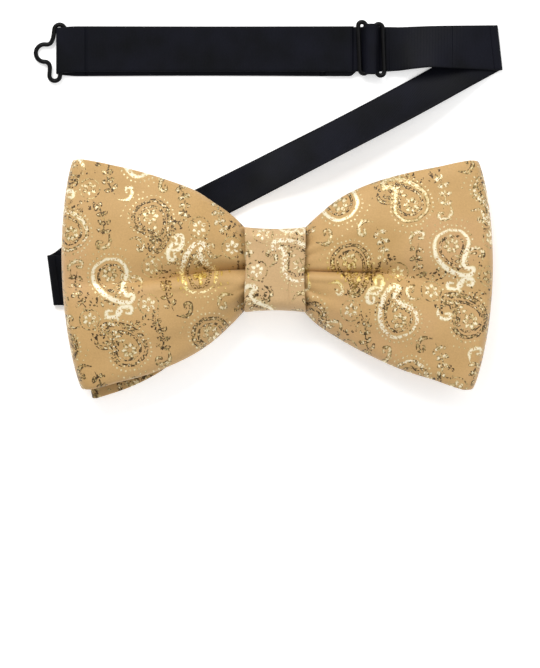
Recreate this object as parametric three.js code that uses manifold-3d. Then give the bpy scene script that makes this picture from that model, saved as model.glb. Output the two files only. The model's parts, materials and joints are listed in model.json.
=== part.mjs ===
// A pre-tied bow tie lying on its back with its adjustable neck strap folded beside it.
// Millimetres. Origin at the back of the knot, +X along the bow, +Y across it, +Z out of its front.
import * as THREE from 'three';
import { mergeVertices } from 'three/addons/utils/BufferGeometryUtils.js';
import Module from 'manifold-3d';

const wasm = await Module();
wasm.setup();

// ---- Driving dimensions ----

const GAP = 0.3;

// The knot: a band of cloth wound round the waist of the bow.
const KNOT_WIDTH = 16.8;
const KNOT_TOP = 11.7;
const KNOT_BOTTOM = -12;
const KNOT_HEIGHT = 16;
const KNOT_CORNER = 3.4;
const KNOT_BACK_CORNER = 1;
const KNOT_CLOTH = 0.8;
const KNOT_PAD = 1;
const KNOT_PAD_LEG_END = 5;
const SEAM_Y = -3;
const SEAM_SLIT = 0.8;
const SEAM_THREAD_RADIUS = 0.15;
const SEAM_STITCH = 2;

// The two bows. A waist is where the wound band grips; corners are where the wings end.
const WAIST_HALF_WIDTH = 8.7;
const WAIST_HALF_HEIGHT = 8.5;
const SHOULDER_X = 9.8;
const SHOULDER_TOP = 12.3;
const SHOULDER_BOTTOM = -12.6;
const EDGE_CURVE = 0.5;
const EDGE_STEPS = 14;
const FRONT_LEFT = { top: [-56, 30.4], side: -59.6, bottom: [-54, -33.2] };
const FRONT_RIGHT = { top: [56.6, 30.1], side: 60.8, bottom: [55.2, -33.5] };
const BACK_LEFT = { top: [-53, 28], side: -55.5, bottom: [-49, -36] };
const BACK_RIGHT = { top: [53, 28], side: 55.5, bottom: [51, -31] };

const COVER_CLOTH = 0.7;
const LINING_CLOTH = 0.7;
const BACK_CLOTH = 0.5;
const BACK_BOW_LOW = 2.5;
const BACK_BOW_HIGH = 5.1;
const BACK_LINING = 0.7;
const BACK_LINING_INSET = 1.5;
const FRONT_BOW_LOW = 5.5;
const LOOP_LOW = 6.6;
const LOOP_HIGH = 15.2;
const WING_CREST = 17.6;
const WING_CREST_X = 31;
const WAIST_FRONT = 10.4;

// How the front bow's loop is shaped on edge, measured in from the wing's end or from the crest.
const END_ROUND_X = 1.2;
const END_ROUND_Z = 1.6;
const END_LENGTH = 5;
const CREST_HALF = 9;
const CREST_FALL_OUT = 0.5;
const CREST_FALL_IN = 0.9;
const RISE_LENGTH = 4.5;
const RISE_HEIGHT = 2.8;
const LOOP_BACK_X = 20;
const LOOP_STEPS = 150;
const WING_SPAN = 50;

const THREAD_RADIUS = 0.2;
const THREAD_TURNS_PITCH = 0.6;
const THREAD_TURNS = 3;

// The neck strap, a flat ribbon folded at two creases.
const STRAP_WIDTH = 12.7;
const STRAP_CLOTH = 0.5;
const STRAP_LOW = 0.3;
const STRAP_HIGH = 1.3;
const FOLD_LEFT = [-62, -4.2];
const FOLD_RIGHT = [62.7, 61.3];
const FOLD_CLEARANCE = 0.15;
const UPPER_END_X = 50;

// The doubled part of the strap between the slider and the hook.
const SLIDER_X = 26.9;
const HOOK_BAR_X = -59.6;
const HOOK_CENTRE_Y = 60.9;
const HOOK_LEAN = 4.5;
const HOOK_LOOP_SLACK = 0.45;
const FRONT_RUN_Z = 1.9;
const BACK_RUN_Z = 0.3;
const BACK_RUN_SHIFT = -0.7;
const TAIL_Z = 1.1;
const TAIL_LENGTH = 9;
const LOOP_NODE_LENGTH = 6;

// Wire fittings.
const WIRE_RADIUS = 0.55;
const SLIDER_OUTER_BAR = 3.55;
const SLIDER_LOBE_RADIUS = 1.3;
const SLIDER_HALF_HEIGHT = 7.55;
const SLIDER_Z = 2.85;
const SLIDER_NODE_HALF = 4.9;
const WEAVE_WIDTH = 12.2;
const END_LOOP_WIDTH = 9.6;
const BAR_Z = 1.2;
const BAR_LOOP_RADIUS = 0.93;
const HOOK_BAR_HALF = 6.7;
const HOOK_LOBE_RADIUS = 1.45;
const HOOK_NOSE_RADIUS = 2.55;
const HOOK_NOSE_REACH = 6.65;
const EYE_BAR_X = 44;
const EYE_REACH = 4.9;
const EYE_CORNER = 1.3;
const EYE_TAIL_LENGTH = 12;
const RESTING_WIRE_Z = 0.6;
const TACK_LENGTH = 1.6;
const TACK_THICKNESS = 0.22;

// ---- Materials ----

const cloth = new THREE.MeshStandardMaterial({ color: '#c9a873', roughness: 0.6, metalness: 0.15 });
const knotCloth = new THREE.MeshStandardMaterial({ color: '#d8b98a', roughness: 0.6, metalness: 0.15 });
const lining = new THREE.MeshStandardMaterial({ color: '#ded7c8', roughness: 0.95, metalness: 0 });
const ribbonCloth = new THREE.MeshStandardMaterial({ color: '#1f2027', roughness: 0.55, metalness: 0 });
const thread = new THREE.MeshStandardMaterial({ color: '#c2a878', roughness: 0.8, metalness: 0 });
const blackThread = new THREE.MeshStandardMaterial({ color: '#15161a', roughness: 0.8, metalness: 0 });
const blackWire = new THREE.MeshStandardMaterial({ color: '#101012', roughness: 0.35, metalness: 0.4 });

const part = new THREE.Group();
part.name = 'bow_tie';

function add(name, geometry, material) {
  const mesh = new THREE.Mesh(geometry, material);
  mesh.name = name;
  part.add(mesh);
}

// ---- Solid helpers ----

function welded(geometry) {
  geometry.deleteAttribute('normal');
  geometry.deleteAttribute('uv');
  return mergeVertices(geometry, 1e-4);
}

function toManifold(geometry) {
  const clean = welded(geometry);
  return new wasm.Manifold(new wasm.Mesh({
    numProp: 3,
    vertProperties: new Float32Array(clean.attributes.position.array),
    triVerts: new Uint32Array(clean.index.array),
  }));
}

function fromManifold(solid) {
  const mesh = solid.getMesh();
  const geometry = new THREE.BufferGeometry();
  geometry.setAttribute('position', new THREE.BufferAttribute(new Float32Array(mesh.vertProperties), 3));
  geometry.setIndex(new THREE.BufferAttribute(new Uint32Array(mesh.triVerts), 1));
  geometry.computeVertexNormals();
  return geometry;
}

const points2 = (list) => list.map(([x, y]) => new THREE.Vector2(x, y));

// A flat outline in X and Y, raised from one height to another.
function plate(outline, low, high) {
  const geometry = new THREE.ExtrudeGeometry(new THREE.Shape(points2(outline)), {
    depth: high - low,
    bevelEnabled: false,
  });
  geometry.translate(0, 0, low);
  return geometry;
}

// A shape drawn in X and Z, run along Y.
function alongY(shape, low, high) {
  const geometry = new THREE.ExtrudeGeometry(shape, { depth: high - low, bevelEnabled: false });
  geometry.rotateX(Math.PI / 2);
  geometry.translate(0, high, 0);
  return geometry;
}

// A shape drawn in Y and Z, run along X.
function alongX(shape, low, high) {
  const geometry = new THREE.ExtrudeGeometry(shape, { depth: high - low, bevelEnabled: false });
  geometry.applyMatrix4(new THREE.Matrix4().set(
    0, 0, 1, low,
    1, 0, 0, 0,
    0, 1, 0, 0,
    0, 0, 0, 1,
  ));
  return geometry;
}

// The unit normal on the left of a polyline at one of its points.
function leftNormal(path, index, closed) {
  const count = path.length;
  const before = path[closed ? (index + count - 1) % count : Math.max(index - 1, 0)];
  const after = path[closed ? (index + 1) % count : Math.min(index + 1, count - 1)];
  const along = new THREE.Vector2(after[0] - before[0], after[1] - before[1]).normalize();
  return [-along.y, along.x];
}

function offset(path, distance, closed = false) {
  return path.map((point, index) => {
    const normal = leftNormal(path, index, closed);
    return [point[0] + normal[0] * distance, point[1] + normal[1] * distance];
  });
}

// A strip of cloth seen on edge: the path thickened equally on both sides.
function strip(path, thickness) {
  const one = offset(path, thickness / 2);
  const other = offset(path, -thickness / 2).reverse();
  return new THREE.Shape(points2([...one, ...other]));
}

// A closed loop of cloth seen on edge. The path runs anticlockwise and is the outer face.
function ring(path, thickness) {
  const shape = new THREE.Shape(points2(path));
  shape.holes.push(new THREE.Path(points2(offset(path, thickness, true))));
  return shape;
}

function arc(centre, radius, from, to, steps) {
  return Array.from({ length: steps + 1 }, (_, i) => {
    const angle = THREE.MathUtils.degToRad(from + (to - from) * i / steps);
    return [centre[0] + radius * Math.cos(angle), centre[1] + radius * Math.sin(angle)];
  });
}

// Evenly spaced points on a smooth curve through the given ones.
function smooth(points, steps, closed = false) {
  const curve = new THREE.CatmullRomCurve3(
    points.map(([x, y]) => new THREE.Vector3(x, y, 0)), closed, 'centripetal');
  const count = closed ? steps : steps + 1;
  return Array.from({ length: count }, (_, i) => curve.getPointAt(i / steps)).map((p) => [p.x, p.y]);
}

// A round wire bent into a closed loop.
function wireLoop(points, radius, steps, sides = 8) {
  const curve = new THREE.CatmullRomCurve3(points, true, 'centripetal');
  return welded(new THREE.TubeGeometry(curve, steps, radius, sides, true));
}

// A round thread with two ends.
function threadRun(points, radius, steps, sides = 6) {
  const path = new THREE.CatmullRomCurve3(points, false, 'centripetal');
  const round = new THREE.Shape(points2(arc([0, 0], radius, 0, 360 - 360 / sides, sides - 1)));
  return new THREE.ExtrudeGeometry(round, { steps, extrudePath: path, bevelEnabled: false });
}

// ---- The bows ----

// One edge of a wing, from the shoulder beside the knot out to the corner.
function wingEdge(shoulder, corner) {
  return Array.from({ length: EDGE_STEPS + 1 }, (_, i) => {
    const t = i / EDGE_STEPS;
    return [
      THREE.MathUtils.lerp(shoulder[0], corner[0], t),
      THREE.MathUtils.lerp(shoulder[1], corner[1], t ** EDGE_CURVE),
    ];
  });
}

// The bulging outer side of a wing, between its two corners.
function wingSide(wing) {
  const bend = new THREE.CatmullRomCurve3([
    new THREE.Vector3(...wing.top, 0),
    new THREE.Vector3(wing.side, (wing.top[1] + wing.bottom[1]) / 2, 0),
    new THREE.Vector3(...wing.bottom, 0),
  ]);
  return bend.getPoints(EDGE_STEPS).map((p) => [p.x, p.y]).slice(1, -1);
}

function bowOutline(left, right) {
  const waist = (side) => [
    [side * WAIST_HALF_WIDTH, -WAIST_HALF_HEIGHT],
    [side * WAIST_HALF_WIDTH, WAIST_HALF_HEIGHT],
  ];
  const half = (wing, side) => [
    ...wingEdge([side * SHOULDER_X, SHOULDER_TOP], wing.top),
    ...wingSide(wing),
    ...wingEdge([side * SHOULDER_X, SHOULDER_BOTTOM], wing.bottom).reverse(),
  ];
  return [
    ...waist(1).reverse().slice(0, 1), ...half(right, 1), waist(1)[0],
    waist(-1)[0], ...half(left, -1).reverse(), waist(-1)[1],
  ];
}

// The front bow's loop on edge: flat behind, rounded at both ends, crested on each wing in front.
function frontLoopPath(inset) {
  const low = FRONT_BOW_LOW + inset;
  const leftEnd = FRONT_LEFT.side + inset;
  const rightEnd = FRONT_RIGHT.side - inset;
  const wing = (side, end) => [
    [end - side * END_LENGTH, LOOP_LOW + inset],
    [end - side * END_ROUND_X, LOOP_LOW + inset + END_ROUND_Z],
    [end, (LOOP_LOW + LOOP_HIGH) / 2],
    [end - side * END_ROUND_X, LOOP_HIGH - inset - END_ROUND_Z],
    [end - side * END_LENGTH, LOOP_HIGH - inset],
    [side * (WING_CREST_X + CREST_HALF), WING_CREST - inset - CREST_FALL_OUT],
    [side * WING_CREST_X, WING_CREST - inset],
    [side * (WING_CREST_X - CREST_HALF), WING_CREST - inset - CREST_FALL_IN],
    [side * (WAIST_HALF_WIDTH + RISE_LENGTH), WAIST_FRONT + RISE_HEIGHT - inset],
    [side * WAIST_HALF_WIDTH, WAIST_FRONT - inset],
  ];
  return smooth([
    [0, low], [LOOP_BACK_X, low], ...wing(1, rightEnd), [0, WAIST_FRONT - inset],
    ...wing(-1, leftEnd).reverse(), [-LOOP_BACK_X, low],
  ], LOOP_STEPS, true);
}

function cutToOutline(geometry, outline, high) {
  const cutter = toManifold(plate(outline, -GAP, high));
  return fromManifold(toManifold(geometry).intersect(cutter));
}

const frontOutline = bowOutline(FRONT_LEFT, FRONT_RIGHT);
const backOutline = bowOutline(BACK_LEFT, BACK_RIGHT);

function frontBowLayer(inset, thickness) {
  const loop = alongY(ring(frontLoopPath(inset), thickness), -WING_SPAN, WING_SPAN);
  return cutToOutline(loop, frontOutline, WING_CREST + GAP);
}

add('front_bow_cover', frontBowLayer(0, COVER_CLOTH), cloth);
add('front_bow_interlining', frontBowLayer(COVER_CLOTH + GAP, LINING_CLOTH), lining);

// The back bow's loop on edge: pressed nearly flat.
function backLoopPath() {
  const left = BACK_LEFT.side;
  const right = BACK_RIGHT.side;
  const middle = (BACK_BOW_LOW + BACK_BOW_HIGH) / 2;
  const bulge = (BACK_BOW_HIGH - BACK_BOW_LOW) / 2;
  return [
    ...arc([right - bulge, middle], bulge, -90, 90, 8),
    ...arc([left + bulge, middle], bulge, 90, 270, 8),
  ];
}

const backLoop = alongY(ring(backLoopPath(), BACK_CLOTH), -WING_SPAN, WING_SPAN);
add('back_bow_cover', cutToOutline(backLoop, backOutline, BACK_BOW_HIGH + GAP), cloth);

const backLiningLow = (BACK_BOW_LOW + BACK_BOW_HIGH - BACK_LINING) / 2;
const backLiningSlab = plate([
  [BACK_LEFT.side + BACK_LINING_INSET, -WING_SPAN],
  [BACK_RIGHT.side - BACK_LINING_INSET, -WING_SPAN],
  [BACK_RIGHT.side - BACK_LINING_INSET, WING_SPAN],
  [BACK_LEFT.side + BACK_LINING_INSET, WING_SPAN],
], backLiningLow, backLiningLow + BACK_LINING);
add('back_bow_interlining', cutToOutline(backLiningSlab, backOutline, BACK_BOW_HIGH), lining);

// Turns of thread that gather the waist of both bows together.
function gatherThread() {
  const sideY = WAIST_HALF_HEIGHT + GAP + THREAD_RADIUS;
  const low = BACK_BOW_LOW - GAP - THREAD_RADIUS;
  const high = WAIST_FRONT + GAP + THREAD_RADIUS;
  const corner = 1;
  const turn = [
    ...arc([sideY - corner, high - corner], corner, 0, 90, 4),
    ...arc([-sideY + corner, high - corner], corner, 90, 180, 4),
    ...arc([-sideY + corner, low + corner], corner, 180, 270, 4),
    ...arc([sideY - corner, low + corner], corner, 270, 360, 4),
  ];
  const count = turn.length * THREAD_TURNS;
  const start = -THREAD_TURNS_PITCH * THREAD_TURNS / 2;
  const points = Array.from({ length: count }, (_, i) => {
    const [y, z] = turn[i % turn.length];
    return new THREE.Vector3(start + THREAD_TURNS_PITCH * i / turn.length, y, z);
  });
  return threadRun(points, THREAD_RADIUS, count * 2);
}

add('gather_thread', gatherThread(), thread);

// ---- The knot ----

// The wound band on edge, anticlockwise in Y and Z, starting at the near side of its seam.
function knotPath(inset) {
  const top = KNOT_TOP - inset;
  const bottom = KNOT_BOTTOM + inset;
  const high = KNOT_HEIGHT - inset;
  const frontCorner = KNOT_CORNER - inset / 2;
  const backCorner = KNOT_BACK_CORNER - inset / 2;
  return [
    ...arc([top - backCorner, inset + backCorner], backCorner, -90, 0, 6),
    ...arc([top - frontCorner, high - frontCorner], frontCorner, 0, 90, 10),
    ...arc([bottom + frontCorner, high - frontCorner], frontCorner, 90, 180, 10),
    ...arc([bottom + backCorner, inset + backCorner], backCorner, 180, 270, 6),
  ];
}

// The band closed on itself behind, except for the slit where its two ends are sewn together.
function knotWrap() {
  const outer = knotPath(0);
  const inner = knotPath(KNOT_CLOTH).reverse();
  const shape = new THREE.Shape(points2([
    [SEAM_Y + SEAM_SLIT / 2, 0], ...outer, [SEAM_Y - SEAM_SLIT / 2, 0],
    [SEAM_Y - SEAM_SLIT / 2, KNOT_CLOTH], ...inner, [SEAM_Y + SEAM_SLIT / 2, KNOT_CLOTH],
  ]));
  return alongX(shape, -KNOT_WIDTH / 2, KNOT_WIDTH / 2);
}

add('knot_wrap', knotWrap(), knotCloth);

// Padding under the band: over the front of the waist and down both its sides.
function knotPad() {
  const inset = KNOT_CLOTH + GAP;
  const top = KNOT_TOP - inset - KNOT_PAD / 2;
  const bottom = KNOT_BOTTOM + inset + KNOT_PAD / 2;
  const high = KNOT_HEIGHT - inset - KNOT_PAD / 2;
  const corner = KNOT_CORNER - inset / 2 - KNOT_PAD / 2;
  const path = [
    [top, KNOT_PAD_LEG_END],
    ...arc([top - corner, high - corner], corner, 0, 90, 8),
    ...arc([bottom + corner, high - corner], corner, 90, 180, 8),
    [bottom, KNOT_PAD_LEG_END],
  ];
  const half = KNOT_WIDTH / 2 - GAP;
  return alongX(strip(path, KNOT_PAD), -half, half);
}

add('knot_interlining', knotPad(), lining);

// The sewing thread that zigzags along the slit in the back of the band.
function seamThread() {
  const half = KNOT_WIDTH / 2 - SEAM_STITCH;
  const count = Math.round(2 * half / SEAM_STITCH) * 2;
  const swing = SEAM_SLIT / 2 - SEAM_THREAD_RADIUS - 0.1;
  const points = Array.from({ length: count + 1 }, (_, i) => new THREE.Vector3(
    -half + 2 * half * i / count,
    SEAM_Y + (i % 2 ? swing : -swing),
    KNOT_CLOTH / 2,
  ));
  return threadRun(points, SEAM_THREAD_RADIUS, count * 2);
}

add('knot_seam_thread', seamThread(), thread);

// ---- The folded neck strap ----

const strapSlope = Math.atan2(FOLD_RIGHT[1] - FOLD_LEFT[1], FOLD_RIGHT[0] - FOLD_LEFT[0]);
const creaseX = -Math.sin(strapSlope / 2);
const creaseY = Math.cos(strapSlope / 2);
const creaseHalf = STRAP_WIDTH / 2 / creaseY;

// The two ends of a strap edge cut along a crease, moved clear of it along X.
function creaseEnds(fold, shift) {
  const end = (side) => [
    fold[0] + shift + side * creaseHalf * creaseX,
    fold[1] + side * creaseHalf * creaseY,
  ];
  return [end(-1), end(1)];
}

// The inner strap: from the left crease, through the knot, to the loop that holds the eye.
function innerStrap() {
  const level = plate([
    ...creaseEnds(FOLD_LEFT, FOLD_CLEARANCE).reverse(),
    [0, FOLD_LEFT[1] - STRAP_WIDTH / 2],
    [0, FOLD_LEFT[1] + STRAP_WIDTH / 2],
  ], STRAP_HIGH - STRAP_CLOTH / 2, STRAP_HIGH + STRAP_CLOTH / 2);
  const loopTop = BAR_Z + BAR_LOOP_RADIUS;
  const path = [
    [-1, STRAP_HIGH], [EYE_BAR_X - 6, STRAP_HIGH],
    ...smooth([[EYE_BAR_X - 5, STRAP_HIGH], [EYE_BAR_X - 3, STRAP_HIGH + 0.15], [EYE_BAR_X - 1, loopTop - 0.1]], 6),
    ...arc([EYE_BAR_X, BAR_Z], BAR_LOOP_RADIUS, 85, -90, 12),
    [EYE_BAR_X - 1.5, STRAP_LOW], [EYE_BAR_X - EYE_TAIL_LENGTH, STRAP_LOW],
  ];
  const low = FOLD_LEFT[1] - STRAP_WIDTH / 2;
  const looped = alongY(strip(path, STRAP_CLOTH), low, low + STRAP_WIDTH);
  return fromManifold(toManifold(level).add(toManifold(looped)));
}

add('neck_strap_inner', innerStrap(), ribbonCloth);

// The diagonal strap, parallel-sided between the two creases and lying under both.
function diagonalStrap() {
  return plate([
    ...creaseEnds(FOLD_LEFT, FOLD_CLEARANCE).reverse(),
    ...creaseEnds(FOLD_RIGHT, -FOLD_CLEARANCE),
  ], STRAP_LOW - STRAP_CLOTH / 2, STRAP_LOW + STRAP_CLOTH / 2);
}

add('neck_strap_diagonal', diagonalStrap(), ribbonCloth);

// The upper strap, back over the diagonal one from the right crease.
function upperStrap() {
  return plate([
    ...creaseEnds(FOLD_RIGHT, -FOLD_CLEARANCE),
    [UPPER_END_X, FOLD_RIGHT[1] + STRAP_WIDTH / 2],
    [UPPER_END_X, FOLD_RIGHT[1] - STRAP_WIDTH / 2],
  ], STRAP_HIGH - STRAP_CLOTH / 2, STRAP_HIGH + STRAP_CLOTH / 2);
}

add('neck_strap_upper', upperStrap(), ribbonCloth);

// A length of strap seen on edge, run across the strap's width.
function strapAlong(path, centreY = FOLD_RIGHT[1], width = STRAP_WIDTH) {
  return alongY(strip(path, STRAP_CLOTH), centreY - width / 2, centreY + width / 2);
}

const sliderRight = SLIDER_X + SLIDER_NODE_HALF;
const sliderLeft = SLIDER_X - SLIDER_NODE_HALF;
const loopNodeEnd = HOOK_BAR_X + LOOP_NODE_LENGTH;

add('neck_strap_running', strapAlong([
  [sliderRight + GAP, FRONT_RUN_Z], [sliderRight + 3, FRONT_RUN_Z - 0.1],
  [UPPER_END_X - 4, STRAP_HIGH + 0.1], [UPPER_END_X - GAP, STRAP_HIGH],
]), ribbonCloth);

// ---- The slider and the strap round it ----

// One tall window of the slider: a straight outer bar, and a lobe at each end that runs back to
// the middle bar, which both windows share.
function sliderWindow(side) {
  const lobeX = SLIDER_OUTER_BAR - SLIDER_LOBE_RADIUS;
  const lobeY = SLIDER_HALF_HEIGHT - SLIDER_LOBE_RADIUS;
  const returnRun = [[0.65, lobeY - 0.35], [0.25, lobeY - 0.8], [0, lobeY - 1.25]];
  const upper = [...arc([lobeX, lobeY], SLIDER_LOBE_RADIUS, 0, 180, 8), ...returnRun];
  const lower = upper.map(([x, y]) => [x, -y]).reverse();
  const points = [...upper, ...lower]
    .map(([x, y]) => new THREE.Vector3(SLIDER_X + side * x, FOLD_RIGHT[1] + y, SLIDER_Z));
  const path = new THREE.CurvePath();
  points.forEach((point, i) => path.add(new THREE.LineCurve3(point, points[(i + 1) % points.length])));
  return welded(new THREE.TubeGeometry(path, 80, WIRE_RADIUS, 8, true));
}

add('slider', fromManifold(toManifold(sliderWindow(-1)).add(toManifold(sliderWindow(1)))), blackWire);

// The running strap, under the outer bars and arched over the middle one.
const weaveHalf = [
  [SLIDER_NODE_HALF, FRONT_RUN_Z], [3.3, FRONT_RUN_Z], [2.7, FRONT_RUN_Z + 0.15],
  [2.3, FRONT_RUN_Z + 0.8], [2.15, FRONT_RUN_Z + 1.6], [1.85, FRONT_RUN_Z + 2.2],
  [1.2, FRONT_RUN_Z + 2.6], [0, FRONT_RUN_Z + 2.7],
];
add('neck_strap_at_slider', strapAlong([
  ...weaveHalf.map(([x, z]) => [SLIDER_X + x, z]),
  ...weaveHalf.slice(0, -1).reverse().map(([x, z]) => [SLIDER_X - x, z]),
], FOLD_RIGHT[1], WEAVE_WIDTH), ribbonCloth);

// The strap's end, up from behind, round the middle bar and back down to be sewn to itself.
add('neck_strap_end_loop', strapAlong([
  [sliderLeft - TAIL_LENGTH, BACK_RUN_Z], [SLIDER_X - 1.8, BACK_RUN_Z],
  [SLIDER_X - 0.2, BACK_RUN_Z + 0.5], [SLIDER_X + 0.7, BACK_RUN_Z + 1.6],
  ...arc([SLIDER_X, SLIDER_Z], BAR_LOOP_RADIUS, -20, 190, 12),
  [SLIDER_X - 1, BACK_RUN_Z + 1.7], [SLIDER_X - 1.9, TAIL_Z + 0.1], [SLIDER_X - 3.2, TAIL_Z],
  [sliderLeft - TAIL_LENGTH + GAP, TAIL_Z],
], FOLD_RIGHT[1], END_LOOP_WIDTH), ribbonCloth);

// A row of close stitches across a strap, lying on one face of it.
function tack(x, centreY, low) {
  const half = END_LOOP_WIDTH / 2 - 0.5;
  return plate([
    [x, centreY - half], [x + TACK_LENGTH, centreY - half],
    [x + TACK_LENGTH, centreY + half], [x, centreY + half],
  ], low, low + TACK_THICKNESS);
}

const tailTop = TAIL_Z + STRAP_CLOTH / 2;
add('slider_bar_tack', tack(sliderLeft - TAIL_LENGTH + 1, FOLD_RIGHT[1], tailTop + 0.04), blackThread);

// ---- The doubled strap and the hook ----

// A level length of strap from the hook's loop to near the slider.
function doubledRun(z, from, shift) {
  return strapAlong([[loopNodeEnd + GAP, z], [from, z]], FOLD_RIGHT[1] + shift);
}

add('neck_strap_front_run', doubledRun(FRONT_RUN_Z, sliderLeft - GAP, 0), ribbonCloth);
add(
  'neck_strap_back_run',
  doubledRun(BACK_RUN_Z, sliderLeft - TAIL_LENGTH - GAP, BACK_RUN_SHIFT),
  ribbonCloth,
);

add('neck_strap_hook_loop', strapAlong([
  [loopNodeEnd, FRONT_RUN_Z], [HOOK_BAR_X + 2.5, FRONT_RUN_Z + 0.05],
  ...arc([HOOK_BAR_X - HOOK_LOOP_SLACK, BAR_Z], BAR_LOOP_RADIUS, 80, 270, 14),
  [HOOK_BAR_X + 1.5, BACK_RUN_Z], [loopNodeEnd, BACK_RUN_Z],
], FOLD_RIGHT[1], STRAP_WIDTH - 0.4), ribbonCloth);

// A wire point measured outward from a bar and along it; outward wires rest lower than the bar.
function fromBar(out, along, reach) {
  const drop = (BAR_Z - RESTING_WIRE_Z) * out / reach;
  return new THREE.Vector3(out, along, BAR_Z - drop);
}

// The hook, one flat wire: a bar with a lobe at each end, shoulders, and a round nose.
function hook() {
  const shoulder = 2 * HOOK_LOBE_RADIUS;
  const noseCentre = HOOK_NOSE_REACH - HOOK_NOSE_RADIUS;
  const half = [
    [0, 0],
    [0, HOOK_BAR_HALF / 2],
    ...arc([HOOK_LOBE_RADIUS, HOOK_BAR_HALF], HOOK_LOBE_RADIUS, 180, 0, 8),
    [shoulder, HOOK_NOSE_RADIUS + 1.5],
    [shoulder + 0.25, HOOK_NOSE_RADIUS + 0.6],
    [shoulder + 0.7, HOOK_NOSE_RADIUS + 0.1],
    ...arc([noseCentre, 0], HOOK_NOSE_RADIUS, 84, 0, 6),
  ];
  const otherHalf = half.slice(1, -1).reverse().map(([out, along]) => [out, -along]);
  const points = [...half, ...otherHalf].map(([out, along]) => fromBar(out, along, HOOK_NOSE_REACH));
  const geometry = wireLoop(points.map((p) => new THREE.Vector3(-p.x, p.y, p.z)), WIRE_RADIUS, 120);
  geometry.rotateZ(-THREE.MathUtils.degToRad(HOOK_LEAN));
  geometry.translate(HOOK_BAR_X, HOOK_CENTRE_Y, 0);
  return geometry;
}

add('hook', hook(), blackWire);

// ---- The eye ----

// The eye: a closed loop whose far side takes the nose of the hook.
function eye() {
  const corner = EYE_CORNER;
  const half = HOOK_BAR_HALF + HOOK_LOBE_RADIUS;
  const outline = [
    ...arc([EYE_REACH - corner, half - corner], corner, 0, 90, 4),
    ...arc([corner, half - corner], corner, 90, 180, 4),
    [0, 0],
    ...arc([corner, -half + corner], corner, 180, 270, 4),
    ...arc([EYE_REACH - corner, -half + corner], corner, 270, 360, 4),
    [EYE_REACH, 0],
  ];
  const points = outline.map(([out, along]) => fromBar(out, along, EYE_REACH));
  const geometry = wireLoop(points, WIRE_RADIUS, 72);
  geometry.translate(EYE_BAR_X, FOLD_LEFT[1], 0);
  return geometry;
}

add('eye', eye(), blackWire);

const innerTop = STRAP_HIGH + STRAP_CLOTH / 2;
add('eye_bar_tack', tack(EYE_BAR_X - EYE_TAIL_LENGTH + 1.5, FOLD_LEFT[1], innerTop + 0.04), blackThread);

export default part;
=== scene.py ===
import json
import math

import bpy
import numpy as np
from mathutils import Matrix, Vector


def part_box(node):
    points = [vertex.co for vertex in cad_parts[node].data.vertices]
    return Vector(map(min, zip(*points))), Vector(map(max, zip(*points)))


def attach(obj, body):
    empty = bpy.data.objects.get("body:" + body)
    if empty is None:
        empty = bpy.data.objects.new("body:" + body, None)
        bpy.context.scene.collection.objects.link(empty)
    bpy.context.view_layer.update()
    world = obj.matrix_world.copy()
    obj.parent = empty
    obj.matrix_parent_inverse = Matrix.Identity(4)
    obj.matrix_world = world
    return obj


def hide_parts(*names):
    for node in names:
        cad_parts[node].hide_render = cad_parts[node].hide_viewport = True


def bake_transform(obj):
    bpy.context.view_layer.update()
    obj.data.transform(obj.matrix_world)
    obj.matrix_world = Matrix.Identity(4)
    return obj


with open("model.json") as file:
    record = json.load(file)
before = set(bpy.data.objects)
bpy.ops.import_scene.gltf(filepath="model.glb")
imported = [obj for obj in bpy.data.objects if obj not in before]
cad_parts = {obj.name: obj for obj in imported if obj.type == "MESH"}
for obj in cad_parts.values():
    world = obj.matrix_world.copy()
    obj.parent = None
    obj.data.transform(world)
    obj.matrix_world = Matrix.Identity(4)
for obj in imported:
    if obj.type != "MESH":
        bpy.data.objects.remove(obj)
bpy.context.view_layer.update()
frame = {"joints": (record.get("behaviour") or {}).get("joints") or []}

MM = 0.001


# ---- Places taken from the frame, in millimetres ----

def box_mm(node):
    low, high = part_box(node)
    return np.array(low) / MM, np.array(high) / MM


def joint(name):
    return next(j for j in frame["joints"] if j["name"] == name)


KNOT_LOW, KNOT_HIGH = box_mm("knot_wrap")
SLIDER_LOW, SLIDER_HIGH = box_mm("slider")
INNER_LOW, INNER_HIGH = box_mm("neck_strap_inner")
RUN_HIGH = box_mm("neck_strap_running")[1]
WEAVE_LOW, WEAVE_HIGH = box_mm("neck_strap_at_slider")
DOUBLE_LOW, DOUBLE_HIGH = box_mm("neck_strap_front_run")
BACKRUN_LOW, BACKRUN_HIGH = box_mm("neck_strap_back_run")
LEFT_FOLD = np.array(joint("left_fold")["pos_m"]) / MM
RIGHT_FOLD = np.array(joint("right_fold")["pos_m"]) / MM
HOOK_BAR = np.array(joint("hook_pivot")["pos_m"]) / MM
HOOK_AXIS = np.array(joint("hook_pivot")["axis"], float)
EYE_BAR = np.array(joint("eye_pivot")["pos_m"]) / MM

# ---- Camera, straight over the table ----

VIEW_HEIGHT = 186.4
VIEW_CENTRE = (-1.4, -18.1)
CAMERA_Z = 2500.0
SUBJECT_Z = 8.0
SENSOR = 36.0

camera_data = bpy.data.cameras.new("camera")
camera_data.sensor_width = SENSOR
camera_data.lens = SENSOR * (CAMERA_Z - SUBJECT_Z) / VIEW_HEIGHT
camera_data.clip_start = 0.05
camera_data.clip_end = 10
camera = bpy.data.objects.new("camera", camera_data)
camera.location = (VIEW_CENTRE[0] * MM, VIEW_CENTRE[1] * MM, CAMERA_Z * MM)
bpy.context.scene.collection.objects.link(camera)
bpy.context.scene.camera = camera


# ---- Node helpers ----

def new_material(name):
    material = bpy.data.materials.new(name)
    material.use_nodes = True
    tree = material.node_tree
    return material, tree.nodes, tree.links, tree.nodes["Principled BSDF"]


def set_inputs(node, values):
    for socket, value in values.items():
        node.inputs[socket].default_value = value


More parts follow.
